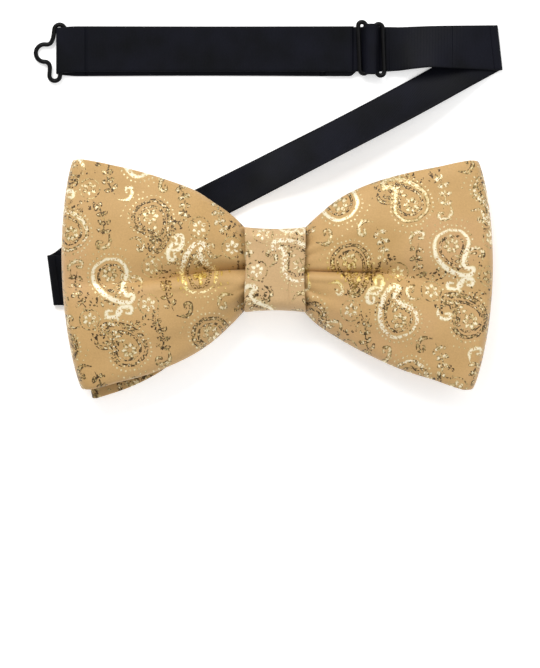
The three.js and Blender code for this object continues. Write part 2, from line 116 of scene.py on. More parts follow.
def ramp(nodes, links, factor, stops):
    node = nodes.new("ShaderNodeValToRGB")
    elements = node.color_ramp.elements
    while len(elements) > 1:
        elements.remove(elements[-1])
    elements[0].position = stops[0][0]
    elements[0].color = (*stops[0][1], 1)
    for position, colour in stops[1:]:
        elements.new(position).color = (*colour, 1)
    links.new(factor, node.inputs["Fac"])
    return node.outputs["Color"]


def srgb(r, g, b):
    def one(c):
        c = c / 255
        return c / 12.92 if c <= 0.04045 else ((c + 0.055) / 1.055) ** 2.4
    return (one(r), one(g), one(b))


def grey(value):
    return (value, value, value)


def math_node(nodes, links, operation, a, b=None, c=None, clamp=False):
    node = nodes.new("ShaderNodeMath")
    node.operation = operation
    node.use_clamp = clamp
    for i, value in enumerate((a, b, c)):
        if value is None:
            continue
        if isinstance(value, (int, float)):
            node.inputs[i].default_value = value
        else:
            links.new(value, node.inputs[i])
    return node.outputs[0]


def mix_colour(nodes, links, factor, a, b, blend="MIX"):
    node = nodes.new("ShaderNodeMix")
    node.data_type = "RGBA"
    node.blend_type = blend
    if isinstance(factor, (int, float)):
        node.inputs[0].default_value = factor
    else:
        links.new(factor, node.inputs[0])
    for i, value in ((6, a), (7, b)):
        if isinstance(value, tuple):
            node.inputs[i].default_value = (*value, 1)
        else:
            links.new(value, node.inputs[i])
    return node.outputs[2]


def place_in_mm(nodes, links):
    where = nodes.new("ShaderNodeTexCoord")
    mapping = nodes.new("ShaderNodeMapping")
    mapping.inputs["Scale"].default_value = (1 / MM, 1 / MM, 1 / MM)
    links.new(where.outputs["Object"], mapping.inputs["Vector"])
    return mapping.outputs["Vector"]


def noise(nodes, links, vector, scale, detail=2.0, roughness=0.5, distortion=0.0):
    node = nodes.new("ShaderNodeTexNoise")
    set_inputs(node, {"Scale": scale, "Detail": detail, "Roughness": roughness, "Distortion": distortion})
    links.new(vector, node.inputs["Vector"])
    return node.outputs["Fac"]


def wave(nodes, links, vector, direction, scale, distortion):
    node = nodes.new("ShaderNodeTexWave")
    node.bands_direction = direction
    set_inputs(node, {"Scale": scale, "Distortion": distortion})
    links.new(vector, node.inputs["Vector"])
    return node.outputs["Fac"]


def relief(nodes, links, shader, height, strength, depth):
    """Fine relief on the surface, depth in metres."""
    bump = nodes.new("ShaderNodeBump")
    set_inputs(bump, {"Strength": strength, "Distance": depth})
    links.new(height, bump.inputs["Height"])
    links.new(bump.outputs["Normal"], shader.inputs["Normal"])


# ---- Materials ----

# foil colours from dark to pale; the palest stand in part for painted glints of the metal foil
FOIL_STOPS = [
    (0.0, srgb(66, 50, 30)), (0.2, srgb(112, 92, 54)), (0.4, srgb(160, 136, 84)),
    (0.58, srgb(200, 178, 126)), (0.78, srgb(228, 212, 172)), (1.0, srgb(241, 231, 204))]
# painted reflection: foil colours for the gold that the foil picks up from the cloth across a pleat
REFLECTED_GOLD_FOIL_STOPS = [
    (0.0, srgb(92, 62, 12)), (0.45, srgb(172, 128, 22)), (0.8, srgb(226, 190, 62)),
    (1.0, srgb(246, 226, 130))]
RIB_PITCH = 0.42


def champagne_cloth(name, light, shade, pink):
    """Champagne satin printed with foil. The print comes from the mesh's own foil_print_and_gold_reflection
    attribute:
    red is where foil lies, green how bright it is, blue how broken up and alpha how much painted
    reflection of the gold cloth across a pleat lies on the foil."""
    material, nodes, links, shader = new_material(name)

    def calc(*terms, **options):
        return math_node(nodes, links, *terms, **options)

    place = place_in_mm(nodes, links)

    drift = noise(nodes, links, place, 0.045, 2)
    ground = ramp(nodes, links, drift, [(0.3, shade), (0.55, light), (0.75, pink)])
    fine = noise(nodes, links, place, 2.2, 3)
    mottle = ramp(nodes, links, fine, [(0.3, grey(0.93)), (0.7, grey(1.04))])
    cloth = mix_colour(nodes, links, 1.0, ground, mottle, "MULTIPLY")

    foil = nodes.new("ShaderNodeAttribute")
    foil.attribute_name = "foil_print_and_gold_reflection"
    parts = nodes.new("ShaderNodeSeparateColor")
    links.new(foil.outputs["Color"], parts.inputs["Color"])
    mask, bright, broken = parts.outputs

    def cells(scale):
        cell = nodes.new("ShaderNodeTexVoronoi")
        cell.inputs["Scale"].default_value = scale
        links.new(place, cell.inputs["Vector"])
        split = nodes.new("ShaderNodeSeparateColor")
        links.new(cell.outputs["Color"], split.inputs["Color"])
        return split.outputs

    coarse, small = cells(1.5), cells(2.7)
    grain = noise(nodes, links, place, 1.3, 4, 0.7, 1.2)

    # broken foil has lost some of its flakes; whole foil keeps them all
    lost = calc("MULTIPLY", broken, 0.55)
    kept = calc("SUBTRACT", small[0], lost)
    kept = calc("MULTIPLY_ADD", kept, 12.0, 0.5, clamp=True)
    cover = calc("MULTIPLY_ADD", mask, 9.0, -1.1, clamp=True)
    cover = calc("MULTIPLY", cover, kept, clamp=True)

    # each fleck of foil is painted bright, a painted glint of the metal, or left dull by chance, more often
    # bright where the foil is bright
    glint_chance = calc("MULTIPLY_ADD", coarse[1], 0.45, calc("MULTIPLY", small[1], 0.55))
    flake_glint = calc("ADD", glint_chance, bright)
    flake_glint = calc("MULTIPLY_ADD", flake_glint, 3.6, -3.1, clamp=True)
    whole = calc("SUBTRACT", 1.0, broken)
    tone = calc("MULTIPLY", flake_glint, broken)
    tone = calc("MULTIPLY_ADD", bright, whole, tone)
    rim = calc("MULTIPLY_ADD", mask, 0.6, -0.45)
    tone = calc("ADD", tone, rim)
    wobble = calc("MULTIPLY_ADD", grain, 0.8, -0.4)
    tone = calc("ADD", tone, wobble, clamp=True)
    plain = ramp(nodes, links, tone, FOIL_STOPS)
    # painted reflection: in a pleat the foil is painted in the gold of the cloth across from it
    reflected_gold_foil = ramp(nodes, links, tone, REFLECTED_GOLD_FOIL_STOPS)
    foil_colour = mix_colour(nodes, links, foil.outputs["Alpha"], plain, reflected_gold_foil)

    links.new(mix_colour(nodes, links, cover, cloth, foil_colour), shader.inputs["Base Color"])
    links.new(calc("MULTIPLY", cover, 0.3), shader.inputs["Metallic"])
    links.new(calc("MULTIPLY_ADD", cover, -0.2, 0.52), shader.inputs["Roughness"])
    set_inputs(shader, {"Sheen Weight": 0.12, "Sheen Roughness": 0.4, "Specular IOR Level": 0.3})

    warp = wave(nodes, links, place, "Y", 1.9, 0.4)
    weft = wave(nodes, links, place, "X", 1.1, 0.6)
    weave = calc("MULTIPLY_ADD", warp, 0.6, weft)
    height = calc("ADD", calc("MULTIPLY_ADD", cover, 1.6, weave), grain)
    relief(nodes, links, shader, height, 0.35, 0.00006)
    return material


def ribbon_cloth(name):
    """Black satin ribbon: fine cross ribs between two narrow woven edges, a little dust."""
    material, nodes, links, shader = new_material(name)

    def calc(*terms, **options):
        return math_node(nodes, links, *terms, **options)

    uv = nodes.new("ShaderNodeUVMap")
    uv.uv_map = "length"
    split = nodes.new("ShaderNodeSeparateXYZ")
    links.new(uv.outputs["UV"], split.inputs["Vector"])
    ribs = calc("SINE", calc("MULTIPLY", split.outputs["X"], 2 * math.pi / RIB_PITCH))
    across = calc("ABSOLUTE", split.outputs["Y"])
    edge = calc("MULTIPLY_ADD", across, 8.0, -7.1, clamp=True)
    place = place_in_mm(nodes, links)
    drift = noise(nodes, links, place, 0.09, 2)
    lint = noise(nodes, links, place, 3.5, 4, 0.7)
    ground = ramp(nodes, links, drift, [(0.3, srgb(9, 10, 13)), (0.7, srgb(17, 18, 27))])
    dust = ramp(nodes, links, lint, [(0.35, grey(0.85)), (0.75, grey(1.2))])
    colour = mix_colour(nodes, links, 1.0, ground, dust, "MULTIPLY")
    colour = mix_colour(nodes, links, calc("MULTIPLY", edge, 0.6), colour, srgb(8, 9, 11))
    links.new(colour, shader.inputs["Base Color"])
    links.new(calc("MULTIPLY_ADD", drift, 0.12, 0.4), shader.inputs["Roughness"])
    set_inputs(shader, {"Sheen Weight": 0.02, "Sheen Roughness": 0.35, "Specular IOR Level": 0.07})
    height = calc("MULTIPLY_ADD", lint, 1.2, calc("MULTIPLY_ADD", edge, 1.5, ribs))
    relief(nodes, links, shader, height, 0.4, 0.00004)
    return material


def lacquered_wire(name):
    """Black lacquer over steel wire, with small dull patches and rubbed spots."""
    material, nodes, links, shader = new_material(name)
    rub = noise(nodes, links, place_in_mm(nodes, links), 0.8, 5, 0.65)
    stops = [(0.4, srgb(7, 7, 8)), (0.68, srgb(12, 12, 14)), (0.8, srgb(30, 29, 30))]
    links.new(ramp(nodes, links, rub, stops), shader.inputs["Base Color"])
    rough = math_node(nodes, links, "MULTIPLY_ADD", rub, 0.35, 0.2)
    links.new(rough, shader.inputs["Roughness"])
    set_inputs(shader, {"Specular IOR Level": 0.12})
    relief(nodes, links, shader, rub, 0.25, 0.00005)
    return material


def woven(name, dark, light, pitch, roughness):
    """Sewing thread, crossed by fine waves in three directions."""
    material, nodes, links, shader = new_material(name)
    place = place_in_mm(nodes, links)
    total = None
    for direction in ("X", "Y", "Z"):
        threads = wave(nodes, links, place, direction, 0.31 / pitch, 0.8)
        total = threads if total is None else math_node(nodes, links, "MULTIPLY_ADD", total, 0.5, threads)
    fuzz = noise(nodes, links, place, 1.6, 4, 0.6)
    mixed = math_node(nodes, links, "MULTIPLY_ADD", total, 0.35, fuzz)
    links.new(ramp(nodes, links, mixed, [(0.45, dark), (1.0, light)]), shader.inputs["Base Color"])
    set_inputs(shader, {"Roughness": roughness})
    relief(nodes, links, shader, mixed, 0.5, 0.00008)
    return material


bow_cloth = champagne_cloth(
    "bow_cloth", srgb(192, 155, 102), srgb(182, 146, 92), srgb(194, 155, 108))
knot_cloth = champagne_cloth(
    "knot_cloth", srgb(197, 164, 120), srgb(190, 157, 112), srgb(200, 168, 132))
strap_cloth = ribbon_cloth("strap_ribbon")
wire = lacquered_wire("black_wire")
gold_thread = woven("gold_thread", srgb(160, 134, 88), srgb(206, 180, 130), 0.3, 0.75)
black_thread = woven("black_thread", srgb(10, 10, 13), srgb(34, 34, 40), 0.3, 0.75)


# ---- Mesh helpers, in millimetres ----

def outward(points, quads, caps):
    """Faces turned so that the closed mesh has a positive volume."""
    a, b, c, d = (points[quads[:, k]] for k in range(4))
    volume = (np.einsum("ij,ij->i", a, np.cross(b, c)) + np.einsum("ij,ij->i", a, np.cross(c, d))).sum()
    if volume < 0:
        return quads[:, ::-1], [cap[::-1] for cap in caps]
    return quads, caps


def new_object(name, points, quads, caps, material):
    points = np.asarray(points, float)
    quads, caps = outward(points, quads, caps)
    mesh = bpy.data.meshes.new(name)
    mesh.from_pydata((points * MM).tolist(), [], quads.tolist() + caps)
    mesh.materials.append(material)
    mesh.update()
    mesh.polygons.foreach_set("use_smooth", [True] * len(quads) + [False] * len(caps))
    obj = bpy.data.objects.new(name, mesh)
    bpy.context.scene.collection.objects.link(obj)
    return obj


def tube_faces(rings, around, closed_along, offset=0):
    """Quads between rings of points, and a cap for each open end."""
    i = np.arange(rings if closed_along else rings - 1)[:, None]
    j = np.arange(around)[None, :]
    a = i * around + j
    b = i * around + (j + 1) % around
    c = ((i + 1) % rings) * around + (j + 1) % around
    d = ((i + 1) % rings) * around + j
    quads = np.stack([a, b, c, d], -1).reshape(-1, 4) + offset
    caps = []
    if not closed_along:
        caps.append([offset + k for k in range(around)][::-1])
        caps.append([offset + (rings - 1) * around + k for k in range(around)])
    return quads, caps


def unit(v):
    return v / np.maximum(np.linalg.norm(v, axis=-1, keepdims=True), 1e-9)


def smooth_line(points, count, closed=False):
    """A Catmull-Rom line through points, evenly spaced."""
    p = np.asarray(points, float)
    n = len(p)
    if closed:
        ext = np.vstack([p[-1], p, p[0], p[1]])
        spans = n
    else:
        ext = np.vstack([2 * p[0] - p[1], p, 2 * p[-1] - p[-2]])
        spans = n - 1
    out = []
    for k in range(spans):
        p0, p1, p2, p3 = ext[k:k + 4]
        t = np.linspace(0, 1, 24, endpoint=False)[:, None]
        out.append(0.5 * (2 * p1 + (p2 - p0) * t + (2 * p0 - 5 * p1 + 4 * p2 - p3) * t ** 2
                          + (3 * p1 - p0 - 3 * p2 + p3) * t ** 3))
    if not closed:
        out.append(p[-1:])
    line = np.vstack(out)
    if closed:
        line = np.vstack([line, line[:1]])
    step = np.concatenate([[0], np.cumsum(np.linalg.norm(np.diff(line, axis=0), axis=1))])
    at = np.linspace(0, step[-1], count + 1 if closed else count)
    even = np.stack([np.interp(at, step, line[:, k]) for k in range(p.shape[1])], 1)
    return even[:-1] if closed else even


def wire_loop(name, points, count):
    """A closed loop of lacquered wire through points, with this many rings."""
    line = smooth_line(points, count, True)
    along = unit(np.roll(line, -1, 0) - np.roll(line, 1, 0))
    angle = np.linspace(0, 2 * np.pi, WIRE_SIDES, endpoint=False)[:, None]
    rings = []
    side = np.cross(along[0], [0.0, 0.0, 1.0])
    side = side / np.linalg.norm(side)
    for k in range(len(line)):
        side = side - along[k] * np.dot(side, along[k])
        side = side / np.linalg.norm(side)
        other = np.cross(along[k], side)
        rings.append(line[k] + WIRE_RADIUS * (np.cos(angle) * side + np.sin(angle) * other))
    return new_object(name, np.vstack(rings), *tube_faces(len(line), WIRE_SIDES, True), wire)


def interp(x, table):
    """A smooth curve through (x, value) pairs, by monotone cubic steps."""
    xs = np.array([p[0] for p in table], float)
    ys = np.array([p[1] for p in table], float)
    x = np.clip(x, xs[0], xs[-1])
    h = np.diff(xs)
    d = np.diff(ys) / h
    m = np.zeros_like(ys)
    m[0], m[-1] = d[0], d[-1]
    both = d[:-1] * d[1:] > 0
    w1, w2 = 2 * h[1:] + h[:-1], h[1:] + 2 * h[:-1]
    inner = np.zeros_like(both, float)
    inner[both] = (w1 + w2)[both] / (w1[both] / d[:-1][both] + w2[both] / d[1:][both])
    m[1:-1] = inner
    k = np.clip(np.searchsorted(xs, x, side="right") - 1, 0, len(h) - 1)
    t = (x - xs[k]) / h[k]
    return ((2 * t ** 3 - 3 * t ** 2 + 1) * ys[k] + (t ** 3 - 2 * t ** 2 + t) * h[k] * m[k]
            + (-2 * t ** 3 + 3 * t ** 2) * ys[k + 1] + (t ** 3 - t ** 2) * h[k] * m[k + 1])


def smoothstep(x, low, high):
    t = np.clip((x - low) / (high - low), 0, 1)
    return t * t * (3 - 2 * t)


# ---- Drawing foil on cloth by distance from a shape ----

class Print:
    """Foil cover, brightness and brokenness at points on the cloth, stamped shape by shape."""

    def __init__(self, points):
        self.p = np.asarray(points, float)
        self.cover = np.zeros(len(self.p))
        self.bright = np.full(len(self.p), 0.5)
        self.broken = np.full(len(self.p), 0.5)

    def stamp(self, chosen, inside, bright, broken):
        """inside is millimetres within the shape's edge, for the chosen points."""
        value = np.clip(inside / 0.55 + 0.22, 0, 1)
        wins = value > self.cover[chosen]
        index = chosen[wins]
        self.cover[index] = value[wins]
        self.bright[index] = np.broadcast_to(bright, value.shape)[wins]
        self.broken[index] = np.broadcast_to(broken, value.shape)[wins]

    def near(self, low, high, pad):
        x, y = self.p[:, 0], self.p[:, 1]
        in_x = (x > low[0] - pad) & (x < high[0] + pad)
        in_y = (y > low[1] - pad) & (y < high[1] + pad)
        return np.flatnonzero(in_x & in_y)

    def stroke(self, line, width, bright, broken, taper=(0.3, 0.3), count=28):
        path = smooth_line(line, count)
        chosen = self.near(path.min(0), path.max(0), width)
        if not len(chosen):
            return
        p = self.p[chosen]
        a, b = path[:-1], path[1:]
        ab = b - a
        t = np.clip(((p[:, None] - a) * ab).sum(-1) / np.maximum((ab * ab).sum(-1), 1e-9), 0, 1)
        gap = np.linalg.norm(p[:, None] - (a + t[..., None] * ab), axis=-1)
        k = gap.argmin(1)
        rows = np.arange(len(p))
        u = (k + t[rows, k]) / len(a)
        half = width / 2 * np.minimum(
            taper[0] + (1 - taper[0]) * smoothstep(u, 0, 0.3),
            taper[1] + (1 - taper[1]) * smoothstep(1 - u, 0, 0.3))
        self.stamp(chosen, half - gap[rows, k], bright, broken)

    def ring(self, centre, radius, width, start, bright, broken):
        angle = np.radians(start + np.linspace(0, 360, 34))
        line = np.stack([centre[0] + radius * np.cos(angle), centre[1] + radius * np.sin(angle)], 1)
        self.stroke(line, width, bright, broken, (1, 1), 44)

    def leaf(self, tail, tip, width, bright, broken):
        tail, tip = np.array(tail, float), np.array(tip, float)
        length = np.linalg.norm(tip - tail)
        chosen = self.near(np.minimum(tail, tip), np.maximum(tail, tip), width)
        if not len(chosen):
            return
        axis = (tip - tail) / length
        p = self.p[chosen] - tail
        u = p @ axis / length
        v = np.abs(p @ np.array([-axis[1], axis[0]]))
        half = width / 2 * np.sin(np.pi * np.clip(u, 0, 1)) ** 0.8
        inside = np.where((u > 0) & (u < 1), half - v, -1.0)
        self.stamp(chosen, inside, bright, broken)

    def dot(self, centre, radius, bright, broken):
        chosen = self.near(centre, centre, radius + 0.5)
        if len(chosen):
            self.stamp(chosen, radius - np.linalg.norm(self.p[chosen] - centre, axis=1), bright, broken)

    def dots(self, line, radius, gap, bright, broken):
        path = smooth_line(line, 200)
        length = np.linalg.norm(np.diff(path, axis=0), axis=1).sum()
        for k in np.linspace(0, 199, max(2, int(length / gap))).astype(int):
            self.dot(path[k], radius, bright, broken)

    def flower(self, centre, radius, petals, turn, bright, broken):
        for k in range(petals):
            angle = math.radians(turn + 360 * k / petals)
            way = np.array([math.cos(angle), math.sin(angle)])
            self.leaf(np.array(centre) + way * radius * 0.25, np.array(centre) + way * radius, radius * 0.55,
                      bright, broken)

    def spray(self, line, spread, count, size, bright, broken, seed):
        """Short flecks scattered about a line."""
        local = np.random.default_rng(seed)
        path = smooth_line(line, 120)
        for _ in range(count):
            k = local.integers(0, 119)
            way = local.uniform(0, 2 * np.pi)
            centre = path[k] + local.normal(0, 0.5, 2) * spread
            long = size * local.uniform(0.6, 1.5)
            end = centre + long * np.array([math.cos(way), math.sin(way)])
            self.leaf(centre, end, long * local.uniform(0.4, 0.7), bright + local.uniform(-0.3, 0.3), broken)

    def fern(self, line, leaf, count, width, bright, broken, lean=0.6):
        """A stem with leaves in pairs."""
        self.stroke(line, 0.45, bright, broken)
        path = smooth_line(line, count * 2 + 2)
        for k in range(1, count * 2 + 1, 2):
            way = unit(path[k + 1] - path[k - 1])
            out = np.array([-way[1], way[0]])
            size = leaf * (1 - 0.45 * k / (count * 2))
            for s in (-1, 1):
                self.leaf(path[k], path[k] + size * unit(way * lean + out * s), width, bright, broken)


# ---- The foil print: a textbook paisley in a half-drop repeat, laid out by rule ----

REPEAT_STEP = (22.0, 18.0)
REPEAT_SLANT = 27.0
REPEAT_CELLS = range(-5, 6)
PRINT_SEED = 8
CELL_REACH = 17.0
WING_CUT = (0.0, 0.0)
KNOT_CUT = (9.0, 130.0)
BACK_CUT = (-7.0, 240.0)
# a teardrop whose tip bends over, in units of half its height
TEARDROP = [(0, -1), (0.7, -0.74), (0.94, 0), (0.64, 0.72), (0.1, 1.24), (-0.5, 1.5), (-0.8, 1.22),
            (-0.46, 1.1), (-0.34, 0.78), (-0.62, 0.3), (-0.86, -0.2), (-0.62, -0.76), (0, -1)]
SPRIG = [(0, -1), (0.22, -0.3), (0.16, 0.4), (-0.18, 1)]
TENDRIL_ENDS = (0.3, 0.7)
TENDRIL = [(-1, -0.4), (-0.4, 0.3), (0.3, 0.25), (0.75, -0.25), (0.4, -0.6), (0.12, -0.3)]


def turned(points, at, size, turn, flip=1):
    """Points of a motif, mirrored, sized, turned and put in its place on the cloth."""
    angle = math.radians(turn)
    spun = np.array([[math.cos(angle), math.sin(angle)], [-math.sin(angle), math.cos(angle)]])
    return np.array(points, float) * (flip, 1) * size @ spun + at


def teardrop_motif(p, at, size, turn, flip, shine, broken):
    def scaled(share):
        return turned(np.array(TEARDROP) * share, at, size, turn, flip)
    p.stroke(scaled(1.0), 1.5, shine, broken, (0.6, 0.6), 60)
    p.stroke(scaled(0.7), 0.8, 0.35, 0.75, (0.8, 0.8), 48)
    p.dots(scaled(1.26), 0.32, 1.2, 0.8, 0.3)
    p.flower(turned([(0.04, -0.2)], at, size, turn, flip)[0], 0.44 * size, 7, turn, 0.6, 0.4)
    for height in (0.35, 0.62, 0.86):
        vein = [(0.2 - 0.2 * height, height), (-0.16 - 0.2 * height, height + 0.1)]
        tail, tip = turned(vein, at, size, turn, flip)
        p.leaf(tail, tip, 1.0, 0.6, 0.5)


def paisley_cell(p, at, turn, flip, local):
    def put(x, y):
        return turned([(x, y)], at, 1.0, turn, flip)[0]
    shine, broken = local.choice([0.85, 0.55, 0.3]), local.choice([0.25, 0.6, 0.8])
    teardrop_motif(p, put(-2.5, -0.5), 5.4, turn + local.uniform(-14, 14), flip, shine, broken)
    p.fern(turned(SPRIG, put(6.8, -1.5), 5.2, turn - 18, flip), 2.6, 4, 1.3, local.uniform(0.15, 0.65), 0.6)
    p.flower(put(8.2, 7.2), 2.1, 6, turn, local.uniform(0.4, 0.9), 0.4)
    p.ring(put(8.2, 7.2), 2.8, 0.3, turn, 0.6, 0.5)
    p.stroke(turned(TENDRIL, put(1.0, 8.6), 3.2, turn + 20, flip), 1.3, 0.85, 0.25, TENDRIL_ENDS)
    p.stroke(turned(TENDRIL, put(-8.4, 3.4), 2.6, turn + 110, -flip), 1.1,
             local.uniform(0.3, 0.8), 0.6, TENDRIL_ENDS)
    p.stroke(turned(TENDRIL, put(5.2, -8.2), 2.8, turn + 200, flip), 1.1,
             local.uniform(0.3, 0.9), 0.4, TENDRIL_ENDS)
    p.dots([put(-9.5, -5.5), put(-6, -8), put(-1, -8.6)], 0.26, 1.2, 0.8, 0.2)
    p.spray([put(-9, 6), put(0, 5), put(9, 2)], 2.2, 60, 0.85, 0.3, 0.6, int(local.integers(1, 1000)))


def paisley_repeat(p, shift, turn):
    """The same printed cloth for every piece, cut from it at its own place and angle."""
    slant = REPEAT_SLANT + turn
    for column in REPEAT_CELLS:
        for row in REPEAT_CELLS:
            half_drop = REPEAT_STEP[1] / 2 * (column % 2)
            place = (column * REPEAT_STEP[0] + shift, row * REPEAT_STEP[1] + half_drop)
            at = turned([place], (0, 0), 1.0, slant)[0]
            if np.abs(p.p - at).max(1).min() > CELL_REACH:
                continue
            local = np.random.default_rng([PRINT_SEED, column - REPEAT_CELLS[0], row - REPEAT_CELLS[0]])
            paisley_cell(p, at, slant + 180 * (row % 2), 1 - 2 * (column % 2), local)


def print_on(obj, flat_points, cut, gold_reflection_share=0.0):
    """cut is the shift and turn at which the piece was cut. The last argument is how much painted
    reflection of the gold cloth lies on the foil, as in the shelter of a pleat."""
    sheet = Print(flat_points)
    paisley_repeat(sheet, *cut)
    # the alpha channel carries the painted reflection of the gold cloth in a pleat
    painted_gold_reflection = np.broadcast_to(gold_reflection_share, sheet.cover.shape)
    colour = np.stack([sheet.cover, sheet.bright, sheet.broken, painted_gold_reflection], 1)
    attribute = obj.data.attributes.new("foil_print_and_gold_reflection", "FLOAT_COLOR", "POINT")
    attribute.data.foreach_set("color", np.clip(colour, 0, 1).astype(np.float32).ravel())


# ---- The bows ----

OUTLINE = {
    -1: {
        "top": [(7.2, 9.9), (8.4, 11.3), (12.4, 15.2), (17.8, 19.0), (22.7, 22.1), (29.3, 24.6), (37.7, 27.2),
                (46.1, 29.1), (57, 30.7)],
        "bottom": [(7.2, 9.9), (8.4, 11.2), (12.6, 15.6), (18.1, 20.6), (22.7, 23.7), (28, 26.4),
                   (34.7, 29.1), (41.4, 31), (54.5, 33.7)],
        "corners": (56.5, 54.1), "bulge": 4.1,
    },
    1: {
        "top": [(7.2, 9.9), (8.4, 11.3), (12.4, 15.1), (17.1, 19.0), (20.9, 21.3), (26.6, 23.8), (33.7, 26.0),
                (40.7, 27.6), (50.2, 29.3), (57.4, 30.4)],
        "bottom": [(7.2, 9.9), (8.4, 11.8), (12.4, 15.8), (17.1, 18.9), (21.9, 21.7), (28, 24.8), (36, 28.3),
                   (45.4, 31.2), (56, 33.9)],
        "corners": (56.9, 55.3), "bulge": 4.6,
    },
}
CLOTH_HALF = 0.75
WAIST = 7.2
END_INSET = 2.7
RIPPLE_WAVES = 7


def outer_side(side, t):
    """How far out the wing's rounded end is, from the bottom corner (t = -1) to the top (t = 1)."""
    top, bottom = OUTLINE[side]["corners"]
    chord = bottom + (top - bottom) * (t + 1) / 2
    return chord + OUTLINE[side]["bulge"] * (1 - t ** 2) ** 0.85


def edge_heights(side, x):
    return interp(x, OUTLINE[side]["top"]), -interp(x, OUTLINE[side]["bottom"])


def fold_line(side, x):
    """The centre pleat's place across the wing."""
    if side < 0:
        return interp(x, [(7, -1.9), (15, -2.3), (26, -3.6), (32, -4.2), (60, -4.6)])
    return interp(x, [(7, -1.2), (21, -1.4), (31, -1.5), (40, -2.9), (50, -5.0), (60, -7.2)])


def ripple(x, y, seed, size):
    local = np.random.default_rng(seed)
    total = np.zeros_like(x)
    for _ in range(RIPPLE_WAVES):
        kx, ky = local.normal(0, 0.12, 2)
        total = total + np.sin(kx * x + ky * y + local.uniform(0, 6.28)) / RIPPLE_WAVES
    return total * size


def front_surface(side, s, t):
    """The front of a wing. s runs from the knot out, t from its lower edge to its upper one."""
    end = outer_side(side, t) - END_INSET
    x = WAIST + (end - WAIST) * s
    top, bottom = edge_heights(side, x + END_INSET * smoothstep(s, 0.8, 1.0))
    top, bottom = top - CLOTH_HALF, bottom + CLOTH_HALF
    share = (t + 1) / 2
    y = bottom + (top - bottom) * share
    flat_y = y.copy()
    crest = interp(s, [(0, 12.3), (0.12, 14.0), (0.3, 16.0), (0.55, 16.7), (0.8, 15.6), (1, 13.4)])
    edge = interp(s, [(0, 7.0), (0.12, 7.6), (0.3, 9.4), (0.6, 11.4), (0.85, 12.0), (1, 11.6)])
    power = interp(s, [(0, 2.2), (0.3, 2.8), (0.7, 3.6), (1, 4.5)])
    arch = (1 - np.abs(t) ** power) ** 0.62
    z = edge + (crest - edge) * arch
    away = y - fold_line(side, x)
    deep = interp(s, [(0, 5.0), (0.15, 4.8), (0.35, 3.6), (0.55, 2.2), (0.8, 1.5), (1, 0.9)])
    if side < 0:
        low_side = interp(s, [(0, 0.9), (0.45, 1.2), (0.7, 1.8), (1, 2.6)])
        high_side = interp(s, [(0, 3.0), (0.4, 4.2), (0.7, 5.0), (1, 7)])
        lip = interp(s, [(0, 1.5), (0.3, 1.3), (0.5, 0.8), (0.62, 0.2), (0.8, 0.0), (1, 0.0)])
        centre = 0.55
    else:
        low_side = interp(s, [(0, 0.8), (0.35, 1.0), (0.5, 2.2), (0.8, 4.0), (1, 6)])
        high_side = interp(s, [(0, 1.0), (0.35, 1.4), (0.5, 3.0), (0.8, 5.0), (1, 7)])
        lip = interp(s, [(0, 0.8), (0.25, 0.7), (0.42, 0.3), (0.52, 0), (1, 0)])
        centre = 0.1
    gap = away - centre
    width = np.where(gap < 0, low_side, high_side)
    z = z - deep * np.exp(-(gap / width) ** 2)
    y = y + lip * np.exp(-((away + 0.35) / 0.8) ** 2) * (away < 1.5)
    z = z + 0.45 * lip * np.exp(-((away + 1.1) / 1.0) ** 2)
    # rolls of cloth gathered under the knot
    gather = np.exp(-s / 0.16)
    z = z + gather * (0.55 * np.cos(t * 11 + side) + 0.3 * np.cos(t * 23 + 1.3))
    # a slack hollow between the pleat and each edge
    slack = interp(s, [(0, 0.0), (0.25, 0.5), (0.6, 1.0), (1, 0.4)])
    z = z - 0.9 * np.exp(-((np.abs(t) - 0.78) / 0.16) ** 2) * slack
    z = z + ripple(x, flat_y, 20 + side, 1.0) * smoothstep(s, 0.05, 0.4)
    return x, y, z, flat_y


def wing_rows(side, s_count, t):
    """Middle surface of one wing, from the waist in front, out, round the end and back behind."""
    rows, flat = [], []
    for s in np.linspace(0, 1, s_count):
        x, y, z, fy = front_surface(side, np.full_like(t, s), t)
        rows.append(np.stack([side * x, y, z], 1))
        flat.append(np.stack([side * x, fy, np.zeros_like(x)], 1))
    x1, y1, z1, fy1 = front_surface(side, np.ones_like(t), t)
    back_z = 6.3 - 0.5 * (1 - t ** 2)
    for a in np.linspace(0, np.pi, 15)[1:]:
        mid, half = (z1 + back_z) / 2, (z1 - back_z) / 2
        x = x1 + 2.0 * np.sin(a)
        rows.append(np.stack([side * x, y1 * (1 - 0.004 * (1 - np.cos(a))), mid + half * np.cos(a)], 1))
        flat.append(np.stack([side * (x1 + 3 * a), fy1, np.full_like(x, a / np.pi)], 1))
    for s in np.linspace(1, 0, 34)[1:]:
        x = WAIST + (outer_side(side, t) - END_INSET - WAIST) * s
        top, bottom = edge_heights(side, x)
        y = bottom + CLOTH_HALF + 0.5 + (top - bottom - 2 * CLOTH_HALF - 1.0) * (t + 1) / 2
        z = 5.4 + (0.9 - 0.5 * (1 - t ** 2)) * s + 0.3 * np.exp(-s / 0.2) * np.cos(t * 9)
        rows.append(np.stack([side * x, y, z], 1))
        flat.append(np.stack([side * x, y, np.ones_like(x)], 1))
    return np.array(rows), np.array(flat)


RIM_ANGLES = np.linspace(0, np.pi, 7)[1:-1]


def rolled_rims(rows, normal, across, half):
    """The rounded low and high rims of a band of cloth of this half thickness."""
    rims = []
    for column, way in ((0, -half), (-1, half)):
        rims.append(np.stack([
            rows[:, column] + way * (np.cos(a) * normal[:, column] + np.sin(a) * across[:, column])
            for a in RIM_ANGLES], 1))
    return rims


